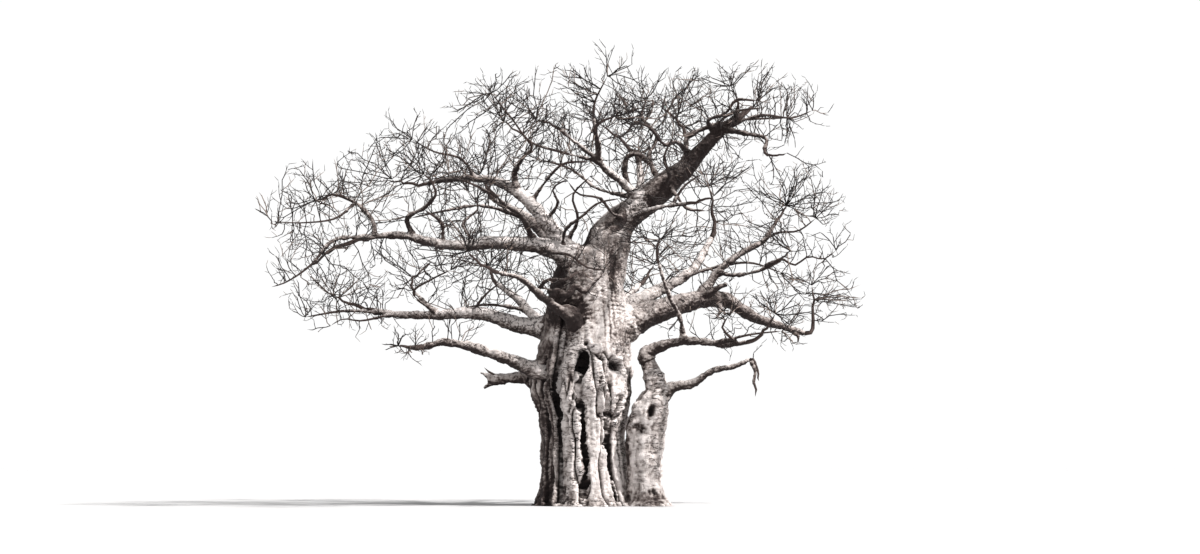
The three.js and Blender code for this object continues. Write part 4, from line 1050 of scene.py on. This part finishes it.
ballSpots, ballSizes = [], []
for stem in (trunk, sideStem):
    for height in np.arange(0, stem["rows"][-1][0], clearance["sample"]):
        across, depth, radius = rowsAt(stem["rows"], height)
        ballSpots.append((across, depth, height))
        ballSizes.append(radius)
for name, limb in limbs.items():
    count = math.ceil(routes[name].length / clearance["sample"])
    shares = np.arange(count + 1) / count
    ballSpots.extend(routes[name].spots(shares))
    ballSizes.extend(radiusAt(limb, shares))
ballSpots, ballSizes = np.array(ballSpots), np.array(ballSizes)
hearts = np.array([tuple(place(heart)) for heart, _, _ in masses.values()])
reaches = np.array([reach for _, reach, _ in masses.values()])
groups = [piece for _, _, piece in masses.values()]
boxMargin = 0.02
crownBox = np.array([cadBox[0], cadBox[1]]) + [[boxMargin], [-boxMargin]]


class Space:
    # the room of one mass: inside its own ellipsoid, nearer to its heart than to another, clear of limbs
    def __init__(self, number):
        self.number = number
        heart, reach = hearts[number], reaches[number]
        near = np.all(np.abs(ballSpots - heart) < reach + ballSizes[:, None] + clearance["ball"], axis=1)
        self.balls, self.sizes = ballSpots[near], ballSizes[near] + clearance["limb"]
        apart = lengthOf((hearts - heart) / (reaches + reach))
        self.others = np.flatnonzero((apart < clearance["other"]) & (np.arange(len(hearts)) != number))

    def fits(self, points):
        own = lengthOf((points - hearts[self.number]) / reaches[self.number])
        clear = (own <= 1) & np.all((points > crownBox[0]) & (points < crownBox[1]), axis=1)
        for other in self.others:
            theirs = lengthOf((points - hearts[other]) / reaches[other])
            clear &= own + clearance["space"] < theirs
        for ball, size in zip(self.balls, self.sizes):
            clear &= lengthOf(points - ball) >= size
        return clear

    def lineFits(self, start, end):
        shares = np.arange(1, clearance["samples"] + 1) / clearance["samples"]
        points = np.array(start) + np.outer(shares, np.array(end - start))
        return bool(np.all(self.fits(points)))


class Crown:
    # where twigs may grow, told for small cells: in a mass's reach or near a bough, and clear of limbs
    def __init__(self):
        self.size = np.ceil((crownBox[1] - crownBox[0]) / crownCell["size"]).astype(int)
        self.free = np.zeros(self.size, bool)

    def cells(self, points):
        return (points - crownBox[0]) / crownCell["size"]

    def paint(self, middle, half, value):  # sets the cells inside an ellipsoid
        low = np.clip(np.floor(self.cells(middle - half)).astype(int), 0, self.size)
        high = np.clip(np.ceil(self.cells(middle + half)).astype(int), 0, self.size)
        axes = [crownBox[0][axis] + (np.arange(low[axis], high[axis]) + 0.5) * crownCell["size"]
                for axis in range(3)]
        grid = np.meshgrid(*axes, indexing="ij", sparse=True)
        inside = sum(((line - middle[axis]) / half[axis]) ** 2 for axis, line in enumerate(grid)) <= 1
        self.free[low[0]:high[0], low[1]:high[1], low[2]:high[2]][inside] = value

    def fits(self, points):
        cells = np.floor(self.cells(points)).astype(int)
        inside = np.all((cells >= 0) & (cells < self.size), axis=1)
        cells = np.clip(cells, 0, self.size - 1)
        return inside & self.free[cells[:, 0], cells[:, 1], cells[:, 2]]


def bareShare(name):
    return bareTo.get(name, buds["boughFrom"])


def turnedAway(direction, angle, turn):
    side = up if abs(direction.z) < 0.9 else Vector((1, 0, 0))
    across = direction.cross(side).normalized()
    across = Matrix.Rotation(turn, 3, direction) @ across
    return Matrix.Rotation(angle, 3, across) @ direction


def crookedPath(start, end, legs, crook, seed):
    line = end - start
    corners = [start]
    for leg in range(1, legs):
        aside = turnedAway(line.normalized(), math.pi / 2, 2 * math.pi * chance(seed, draws["aside"] + leg))
        offset = crook * line.length * (0.5 + 0.5 * chance(seed, draws["offset"] + leg))
        corners.append(start + line * (leg / legs) + aside * offset)
    corners.append(end)
    return corners


def spreadDirection(index, count, turn):
    height = 1 - 2 * (index + 0.5) / count
    ring = math.sqrt(1 - height * height)
    angle = goldenAngle * index + turn
    return Vector((ring * math.cos(angle), ring * math.sin(angle), height))


def sprayPaths(number, seed, stem, space):
    heart, reach = Vector(hearts[number]), Vector(reaches[number])
    count = max(sprays["least"], round(sprays["perMetre"] * reach.x))
    turn = 2 * math.pi * chance(seed, draws["ringTurn"])
    paths = []
    for index in range(count):
        own = mix(seed, index)
        toward = spreadDirection(index, count, turn)
        start = stem.at(within(sprays["starts"], 0.5 + 0.5 * toward.dot(stem.heading(1))))
        for share in sprays["tries"]:
            end = heart + Vector([toward[axis] * reach[axis] * share for axis in range(3)])
            corners = crookedPath(start, end, sprays["legs"], sprays["crook"], own)
            if all(space.lineFits(a, b) for a, b in zip(corners, corners[1:])):
                paths.append((corners, own))
                break
    return paths


def shootEnds(path, seed, space):
    ends = []
    legs = len(path) - 1
    length = (path[-1] - path[0]).length
    for index, along in enumerate(shoots["starts"]):
        leg = min(legs - 1, math.floor(along * legs))
        start = path[leg].lerp(path[leg + 1], along * legs - leg)
        direction = (path[leg + 1] - path[leg]).normalized()
        own = mix(seed, draws["shoot"] + index)
        for attempt in range(shoots["tries"]):
            angle = math.radians(within(shoots["angle"], chance(own, draws["angle"] + attempt)))
            turn = goldenAngle * index + 2 * math.pi * chance(own, draws["turn"] + attempt)
            heading = (turnedAway(direction, angle, turn) + up * shoots["lift"]).normalized()
            share = within(shoots["length"], chance(own, draws["length"] + attempt))
            end = start + heading * length * share
            if space.lineFits(start, end):
                ends.append(end)
                break
    return ends


def unit(vectors):
    return vectors / np.maximum(np.linalg.norm(vectors, axis=-1, keepdims=True), 1e-9)


def manySeeds(seed, count):
    return mix((np.arange(count, dtype=np.uint64) + np.uint64(seed)) & np.uint64(lowBits), draws["bud"])


def turnedMany(directions, angles, turns):  # turnedAway for many
    side = np.where(np.abs(directions[:, 2:3]) < 0.9, [[0, 0, 1]], [[1, 0, 0]])
    across = unit(np.cross(directions, side))
    other = np.cross(directions, across)
    across = across * np.cos(turns)[:, None] + other * np.sin(turns)[:, None]
    lean = np.cross(across, directions)
    return directions * np.cos(angles)[:, None] + lean * np.sin(angles)[:, None]


def latticeBuds(low, high, gap, seed):
    counts = np.ceil((high - low) / gap).astype(int)
    grid = np.meshgrid(*[np.arange(count) for count in counts], indexing="ij")
    cells = np.stack(grid, axis=-1).reshape(-1, 3)
    return low + (cells + 0.5 + strays(manySeeds(seed, len(cells)), 0) * buds["loose"]) * gap


def massStem(number, name):
    bough = routes[name]
    heart = Vector(hearts[number])
    onward = bough.heading(1)
    tip = bough.at(1) + onward * seatGap
    bendAt = tip + onward * ((heart - tip).length / 2)
    stemEnd = tip.lerp(heart, 1 + stemTwig["pastHeart"])
    shares = np.linspace(0, 1, stemTwig["samples"])
    return Route([tip * (1 - t) ** 2 + bendAt * 2 * t * (1 - t) + stemEnd * t ** 2 for t in shares])


def massBuds(number, name, stem):
    space = Space(number)
    seed = mix(treeSeed, number)
    found = []
    for corners, own in sprayPaths(number, seed, stem, space):
        found.append(corners[-1])
        found += shootEnds(corners, own, space)
    full = fullness.get(name, 1)
    heart, reach = hearts[number], reaches[number]
    gap = buds["gap"] * full ** (-1 / 3)
    lattice = latticeBuds(heart - reach, heart + reach, gap, seed)
    lattice = lattice[space.fits(lattice)]
    kept = max(1, round(len(found) * min(1, full)))
    return np.concatenate((np.array([tuple(one) for one in found[:kept]]).reshape(-1, 3), lattice))


def boughBuds(name, taken):
    # buds near the outer part of a bough, mostly beside and above it, where no mass has any
    route = routes[name]
    first = bareShare(name)
    if first >= 1:
        return np.zeros((0, 3))
    samples = route.samples[route.lengths >= first * route.length][::buds["everySample"]]
    low, high = samples.min(axis=0) - buds["nearBough"], samples.max(axis=0) + buds["nearBough"]
    gap = buds["boughGap"] * min(buds["mostBeside"], fullness.get(name, 1)) ** (-1 / 3)
    nameNumber = len(name) * 31 + ord(name[-1])
    lattice = latticeBuds(low, high, gap, mix(treeSeed, nameNumber))
    away = lattice[:, None] - samples[None]
    away[..., 2] *= np.where(away[..., 2] < 0, buds["belowCounts"], 1)
    near = lengthOf(away).min(axis=1) < buds["nearBough"]
    lattice = lattice[near & treeCrown.fits(lattice)]
    if len(taken):
        apart = lengthOf(lattice[:, None] - taken[None]).min(axis=1)
        lattice = lattice[apart > gap * buds["apart"]]
    return lattice


def blocked(start, end, rootSize):  # whether a branch from one point to another runs through a limb
    shares = np.arange(1, branches["samples"] + 1) / branches["samples"]
    points = start + shares[:, None] * (end - start)
    points = points[lengthOf(points - start) > rootSize * branches["offRoot"]]
    return len(points) > 0 and not np.all(treeCrown.fits(points))


def joinCosts(lines, headings):  # the length of each line, counted longer where it turns or hangs
    lengths = lengthOf(lines)
    onward = np.sum(lines * headings, axis=1) / np.maximum(lengths, 1e-9)
    turned = np.where(np.any(np.atleast_2d(headings) != 0, axis=1), 1 - onward, 0)
    hanging = np.clip(-lines[:, 2] / np.maximum(lengths, 1e-9) - branches["hangFrom"], 0, 1)
    return lengths * (1 + branches["turnCost"] * turned / 2 + branches["hangCost"] * hanging)


def joinBuds(roots, rootSizes, spots):
    # each bud joins the node that is near and not a long way round from a limb, the cheapest bud first
    nodes = np.concatenate((roots, spots))
    first = len(roots)
    headings = np.zeros((len(nodes), 3))
    way = np.zeros(len(nodes))
    parents = np.full(len(nodes), -1)
    best = np.full(len(spots), np.inf)
    choice = np.zeros(len(spots), int)
    for index in range(len(spots)):
        apart = lengthOf(roots - spots[index])
        choice[index] = int(np.argmin(apart))
        best[index] = apart[choice[index]]
    joined = np.zeros(len(spots), bool)
    left = np.full(len(spots), branches["tries"])
    refused = [set() for _ in spots]
    order = []
    while True:
        waiting = np.where(joined | (left <= 0), np.inf, best)
        pick = int(np.argmin(waiting))
        if not np.isfinite(waiting[pick]):
            break
        parent = int(choice[pick])
        apart = np.linalg.norm(nodes[parent] - spots[pick])
        size = rootSizes[parent] if parent < first else 0
        if apart > branches["longest"] + size or blocked(nodes[parent], spots[pick], size):
            left[pick] -= 1
            refused[pick].add(parent)
            ready = np.concatenate((np.ones(first, bool), joined))
            costs = joinCosts(spots[pick] - nodes, headings) + branches["longWay"] * way
            costs[~ready] = np.inf
            costs[list(refused[pick])] = np.inf
            choice[pick] = int(np.argmin(costs))
            best[pick] = costs[choice[pick]]
            continue
        joined[pick] = True
        node = first + pick
        parents[node] = parent
        way[node] = way[parent] + apart
        headings[node] = unit(spots[pick] - nodes[parent])
        order.append(node)
        costs = joinCosts(spots - spots[pick], headings[node]) + branches["longWay"] * way[node]
        better = (costs < best) & ~joined
        best[better] = costs[better]
        choice[better] = node
    return nodes, parents, order


def branchRuns(nodes, parents, order, rootSizes):
    # the branches as runs of nodes, each following its fullest fork, with a radius at every node
    first = len(rootSizes)
    ends = np.zeros(len(nodes))
    forks = {}
    for node in reversed(order):
        ends[node] = max(1, ends[node])
        ends[parents[node]] += ends[node]
        forks.setdefault(int(parents[node]), []).append(node)
    radii = branches["tip"] * np.maximum(ends, 1) ** branches["grow"]
    runs = []
    for node in order:
        parent = int(parents[node])
        leading = parent >= first and max(forks[parent], key=lambda one: ends[one]) == node
        if leading:
            continue
        run = [parent, node]
        while run[-1] in forks:
            run.append(max(forks[run[-1]], key=lambda one: ends[one]))
        thick = radii[run].copy()
        thick[0] = thick[1]
        if parent < first:
            most = branches["ofLimb"] * rootSizes[parent]
            thick *= min(1, max(most, branches["tip"] * 2) / thick[0])
        runs.append((nodes[run], thick))
    return runs


def bentRun(points, thick, seed):  # the run through its nodes as a crooked curve of short straight parts
    parts = branches["parts"]
    before, after = points[0] * 2 - points[1], points[-1] * 2 - points[-2]
    run = np.concatenate(([before], points, [after]))
    p0, p1, p2, p3 = run[:-3], run[1:-2], run[2:-1], run[3:]
    out, back = (p2 - p0) * branches["pull"], (p3 - p1) * branches["pull"]
    curves = []
    for part in range(parts):
        t = part / parts
        near, far = (1 + 2 * t) * (1 - t) ** 2, t ** 2 * (3 - 2 * t)
        curves.append(p1 * near + p2 * far + out * (t * (1 - t) ** 2) - back * (t ** 2 * (1 - t)))
    path = np.concatenate((np.stack(curves, axis=1).reshape(-1, 3), points[-1:]))
    stray = strays(manySeeds(seed, len(path)), draws["bend"])
    stray[0] = 0
    legs = np.repeat(lengthOf(p2 - p1), parts)
    path += stray * branches["crook"] * np.append(legs, legs[-1])[:, None]
    sizes = np.interp(np.arange(len(path)) / parts, np.arange(len(thick)), thick)
    return path, sizes


def growFiner(paths, sizes, seeds, rule):
    # one finer order: twigs spaced along each path, walked leg by leg while they fit
    starts, headings, own, spans = [], [], [], []
    for path, size, seed in zip(paths, sizes, seeds):
        steps = lengthOf(np.diff(path, axis=0))
        runs = np.concatenate(([0], np.cumsum(steps)))
        count = max(1, round(runs[-1] / rule["every"]))
        along = (np.arange(count) + rule["first"]) / count * runs[-1]
        leg = np.clip(np.searchsorted(runs, along) - 1, 0, len(steps) - 1)
        share = ((along - runs[leg]) / steps[leg])[:, None]
        thin = np.interp(along, runs, size) < branches["thickFrom"]
        starts.append((path[leg] + (path[leg + 1] - path[leg]) * share)[thin])
        headings.append(unit(path[leg + 1] - path[leg])[thin])
        own.append(manySeeds(int(seed), count)[thin])
        spans.append(np.arange(count)[thin])
    starts, headings = np.concatenate(starts), np.concatenate(headings)
    own, spans = np.concatenate(own), np.concatenate(spans)
    angle = np.radians(within(rule["angle"], chance(own, draws["angle"])))
    turn = goldenAngle * spans + 2 * np.pi * chance(own, draws["turn"])
    lift = np.array([0, 0, rule["lift"]])
    heading = unit(turnedMany(headings, angle, turn) + lift)
    length = within(rule["length"], chance(own, draws["length"]))
    corners = [starts]
    alive = np.ones(len(starts), bool)
    reached = np.zeros(len(starts), int)
    for step in range(rule["legs"]):
        end = corners[-1] + heading * (length / rule["legs"])[:, None]
        alive &= treeCrown.fits(end)
        end = np.where(alive[:, None], end, corners[-1])
        reached += alive
        corners.append(end)
        heading = unit(heading + rule["crook"] * strays(own, draws["bend"] + step * 3) + lift)
    keep = reached >= rule["least"]
    grown = np.stack(corners, axis=1)[keep]
    thick = np.linspace(rule["radii"][0], rule["radii"][1], rule["legs"] + 1)
    made = [path[:count + 1] for path, count in zip(grown, reached[keep])]
    return made, [thick[:len(path)] for path in made], own[keep]


def tubeArrays(paths, sizes, looks, sides):
    # tapering twigs as arrays, those with the same number of points together: a base, rings and a point.
    # A triangle has -1 for its fourth corner.
    corners, faces, faceLooks = [], [], []
    total = 0
    around = np.arange(sides)
    onward = (around + 1) % sides
    counts = np.array([len(path) for path in paths])
    for points in np.unique(counts):
        group = np.flatnonzero(counts == points)
        chosen = np.clip(np.stack([paths[index] for index in group]), *crownBox)
        thick = np.stack([sizes[index] for index in group])
        look = looks[group]
        legs, many = points - 1, len(group)
        heading = unit(np.gradient(chosen, axis=1))
        side = np.where(np.abs(heading[:, 0, 2:3]) < 0.9, [[0, 0, 1]], [[1, 0, 0]]).astype(float)
        angle = around * 2 * np.pi / sides
        rings = np.empty((many, legs, sides, 3))
        for leg in range(legs):
            side = unit(side - heading[:, leg] * np.sum(side * heading[:, leg], axis=1, keepdims=True))
            other = np.cross(heading[:, leg], side)
            ring = side[:, None] * np.cos(angle)[:, None] + other[:, None] * np.sin(angle)[:, None]
            rings[:, leg] = chosen[:, leg, None] + ring * thick[:, leg, None, None]
        spots = np.concatenate((rings.reshape(many, -1, 3), chosen[:, -1:]), axis=1)
        size = legs * sides + 1
        base = total + np.arange(many)[:, None, None] * size
        shapes = [leg * sides + np.stack((around, onward, sides + onward, sides + around), axis=1)
                  for leg in range(legs - 1)]
        last = (legs - 1) * sides
        tip = np.stack((last + around, last + onward, np.full(sides, size - 1), np.full(sides, -1)), axis=1)
        fan = np.stack((np.zeros(sides - 2, int), around[2:], around[1:-1], np.full(sides - 2, -1)), axis=1)
        for shape in (*shapes, np.concatenate((tip, fan))):
            faces.append(np.where(shape < 0, -1, base + shape).reshape(-1, 4))
            faceLooks.append(np.repeat(look, len(shape)))
        corners.append(spots.reshape(-1, 3))
        total += many * size
    return np.concatenate(corners), np.concatenate(faces), np.concatenate(faceLooks)


def joinedMesh(name, parts):
    corners, faces, looks = [], [], []
    offset = 0
    for points, partFaces, partLooks in parts:
        corners.append(points)
        faces.append(np.where(partFaces < 0, -1, partFaces + offset))
        looks.append(partLooks)
        offset += len(points)
    faces = np.concatenate(faces)
    sizes = np.sum(faces >= 0, axis=1)
    order = np.argsort(-sizes, kind="stable")  # the quads come first
    faces, sizes, looks = faces[order], sizes[order], np.concatenate(looks)[order]
    loops = faces[faces >= 0]
    starts = np.concatenate(([0], np.cumsum(sizes)[:-1]))
    mesh = bpy.data.meshes.new(name)
    mesh.vertices.add(offset)
    mesh.vertices.foreach_set("co", np.concatenate(corners).ravel())
    mesh.loops.add(len(loops))
    mesh.loops.foreach_set("vertex_index", loops.astype(np.int32))
    mesh.polygons.add(len(sizes))
    mesh.polygons.foreach_set("loop_start", starts.astype(np.int32))
    mesh.polygons.foreach_set("material_index", looks.astype(np.int32))
    mesh.update(calc_edges=True)
    mesh.validate()
    mesh.shade_smooth()
    return mesh, int(np.sum(sizes - 2))


def pieceAt(spots):  # the group of the mass that each spot is nearest to, by the masses' own reaches
    apart = lengthOf((spots[:, None] - hearts[None]) / reaches[None])
    return [groups[index] for index in np.argmin(apart, axis=1)]


print("growing twigs")
treeCrown = Crown()
for heart, reach in zip(hearts, reaches):
    treeCrown.paint(heart, reach * crownCell["past"], True)
for name in everyLimb:
    if bareShare(name) < 1:
        count = max(2, math.ceil(routes[name].length / crownCell["along"]))
        for spot in routes[name].spots(np.linspace(bareShare(name), 1, count)):
            treeCrown.paint(spot + (0, 0, crownCell["above"]), np.full(3, buds["nearBough"]), True)
for spot, size in zip(ballSpots, ballSizes):
    treeCrown.paint(spot, np.full(3, size + crownCell["limb"]), False)

roots, rootSizes, stemParts = [], [], []


def addRoots(points, radii):
    roots.extend(points)
    rootSizes.extend(radii)


for name, limb in limbs.items():
    bare = bareShare(name)
    if bare < 1:
        count = max(3, math.ceil(routes[name].length * (1 - bare) / rootSteps["bough"]))
        shares = np.linspace(bare, 1, count)
        addRoots(routes[name].spots(shares), radiusAt(limb, shares))
for name, limb in sideLimbs.items():
    shares = np.linspace(0, 1, max(4, math.ceil(routes[name].length / rootSteps["side"])))
    path = routes[name].spots(shares)
    thick = radiusAt(limb, shares)
    if limb["radii"][1] < fuse["from"]:
        thin = max(1, int(np.sum(thick > fuse["from"] * fuse["overlap"])))
        stemParts.append((path[thin - 1:], thick[thin - 1:] * fuse["inside"], None))
    addRoots(path[2:], thick[2:])
spots = []
for number, name in enumerate(masses):
    stem = massStem(number, name)
    shares = np.arange(stemTwig["parts"] + 1) / stemTwig["parts"]
    thick = np.linspace(limbs[name]["radii"][1], stemTwig["endRadius"], len(shares))
    stray = strays(manySeeds(mix(treeSeed, draws["stem"] + number), len(shares)), draws["bend"])
    stray[:2] = 0
    points = stem.spots(shares) + stray * stemTwig["crook"] * stem.length / 2
    stemParts.append((points, thick, groups[number]))
    addRoots(points, thick)
    spots.append(massBuds(number, name, stem))
spots = np.concatenate(spots)
for name in everyLimb:
    spots = np.concatenate((spots, boughBuds(name, spots)))
print("buds", len(spots), "roots", len(roots))
nodes, parents, order = joinBuds(np.array(roots), np.array(rootSizes), spots)
runs = branchRuns(nodes, parents, order, np.array(rootSizes))
print("branches", len(runs), "buds joined", len(order))

bent = [bentRun(*run, mix(treeSeed, draws["run"] + index)) for index, run in enumerate(runs)]
seeds = manySeeds(mix(treeSeed, draws["order"]), len(bent))
grown = ([path for path, _ in bent], [size for _, size in bent], seeds)
orders = [(*grown, branches["sides"])]
for rule in finer:
    grown = growFiner(*grown, rule)
    orders.append((*grown, 3))
pieces = {group: {"parts": [], "nodes": []} for group in dict.fromkeys(groups)}
for name, group in zip(masses, groups):
    pieces[group]["nodes"].append(name.replace("bough", "twigs"))
for points, thick, group in stemParts:
    group = group or pieceAt(points[:1])[0]
    pieces[group]["parts"].append(tubeArrays([points], [thick], np.array([0]), branches["thickSides"]))
for paths, sizes, seeds, sides in orders:
    where = pieceAt(np.array([path[0] for path in paths]))
    dealt = mix(seeds, draws["look"]) % np.uint64(len(twigBark["shares"]))
    look = np.array(twigBark["shares"])[dealt.astype(int)]
    look = np.where([size[0] > branches["thickFrom"] for size in sizes], 0, look)
    for group, made in pieces.items():
        mine = [index for index, one in enumerate(where) if one == group]
        if mine:
            made["parts"].append(tubeArrays(
                [paths[index] for index in mine], [sizes[index] for index in mine], look[mine], sides))
total = 0
for group, made in pieces.items():
    mesh, count = joinedMesh("twigs_" + group, made["parts"])
    newPiece("twig_sprays_" + group, mesh, twigLooks, made["nodes"])
    total += count
    print("twigs", group, count)
print("twig triangles", total)


# Floor, light and camera
floorForm = bmesh.new()
bmesh.ops.create_grid(floorForm, x_segments=1, y_segments=1, size=light["floorSize"] / 2)
floorMesh = bpy.data.meshes.new("floor")
writeMesh(floorForm, floorMesh)
floorMesh.transform(Matrix.Translation((0, 0, -light["floorGap"])))
floor = inScene("floor", floorMesh)
floorMaterial, floorTree = newMaterial("Pale floor")
pale = addNode(floorTree, "BsdfPrincipled", inputs={
    "Base Color": linear(light["floorColour"]), "Roughness": light["floorRough"]})
addNode(floorTree, "OutputMaterial", links={"Surface": pale.outputs[0]})
floorMesh.materials.append(floorMaterial)

sunData = bpy.data.lights.new("sun", "SUN")
sunData.energy = light["strength"]
sunData.angle = math.radians(light["spread"])
sunData.color = linear(light["colour"])[:3]
sun = inScene("sun", sunData)
azimuth, height = math.radians(light["azimuth"]), math.radians(light["height"])
level = math.cos(height)
toSun = Vector((math.sin(azimuth) * level, -math.cos(azimuth) * level, math.sin(height)))
sun.rotation_mode = "QUATERNION"
sun.rotation_quaternion = toSun.to_track_quat("Z", "Y")

world = bpy.data.worlds.new("sky")
world.use_nodes = True
skyTree = world.node_tree
skyTree.nodes.clear()
direction = addNode(skyTree, "TexCoord").outputs["Generated"]
rise = addNode(skyTree, "SeparateXYZ", links={"Vector": direction}).outputs["Z"]
dimmer = addNode(skyTree, "MapRange", links={"Value": rise}, inputs={
    "From Min": light["lowTo"], "From Max": light["highFrom"],
    "To Min": light["skyLow"], "To Max": light["skyHigh"]})
sky = addNode(skyTree, "Background", inputs={"Color": linear(light["sky"])},
              links={"Strength": dimmer.outputs[0]})
addNode(skyTree, "OutputWorld", links={"Surface": sky.outputs[0]})
bpy.context.scene.world = world
bpy.context.scene.view_settings.view_transform = "Standard"

cameraData = bpy.data.cameras.new("camera")
cameraData.lens = camera["lens"]
cameraData.sensor_width = camera["sensor"]
cameraData.clip_end = camera["far"]
viewer = inScene("camera", cameraData)
viewer.location = camera["eye"]
viewer.rotation_mode = "QUATERNION"
viewer.rotation_quaternion = (Vector(camera["aim"]) - Vector(camera["eye"])).to_track_quat("-Z", "Y")
bpy.context.scene.camera = viewer
print("stage set")
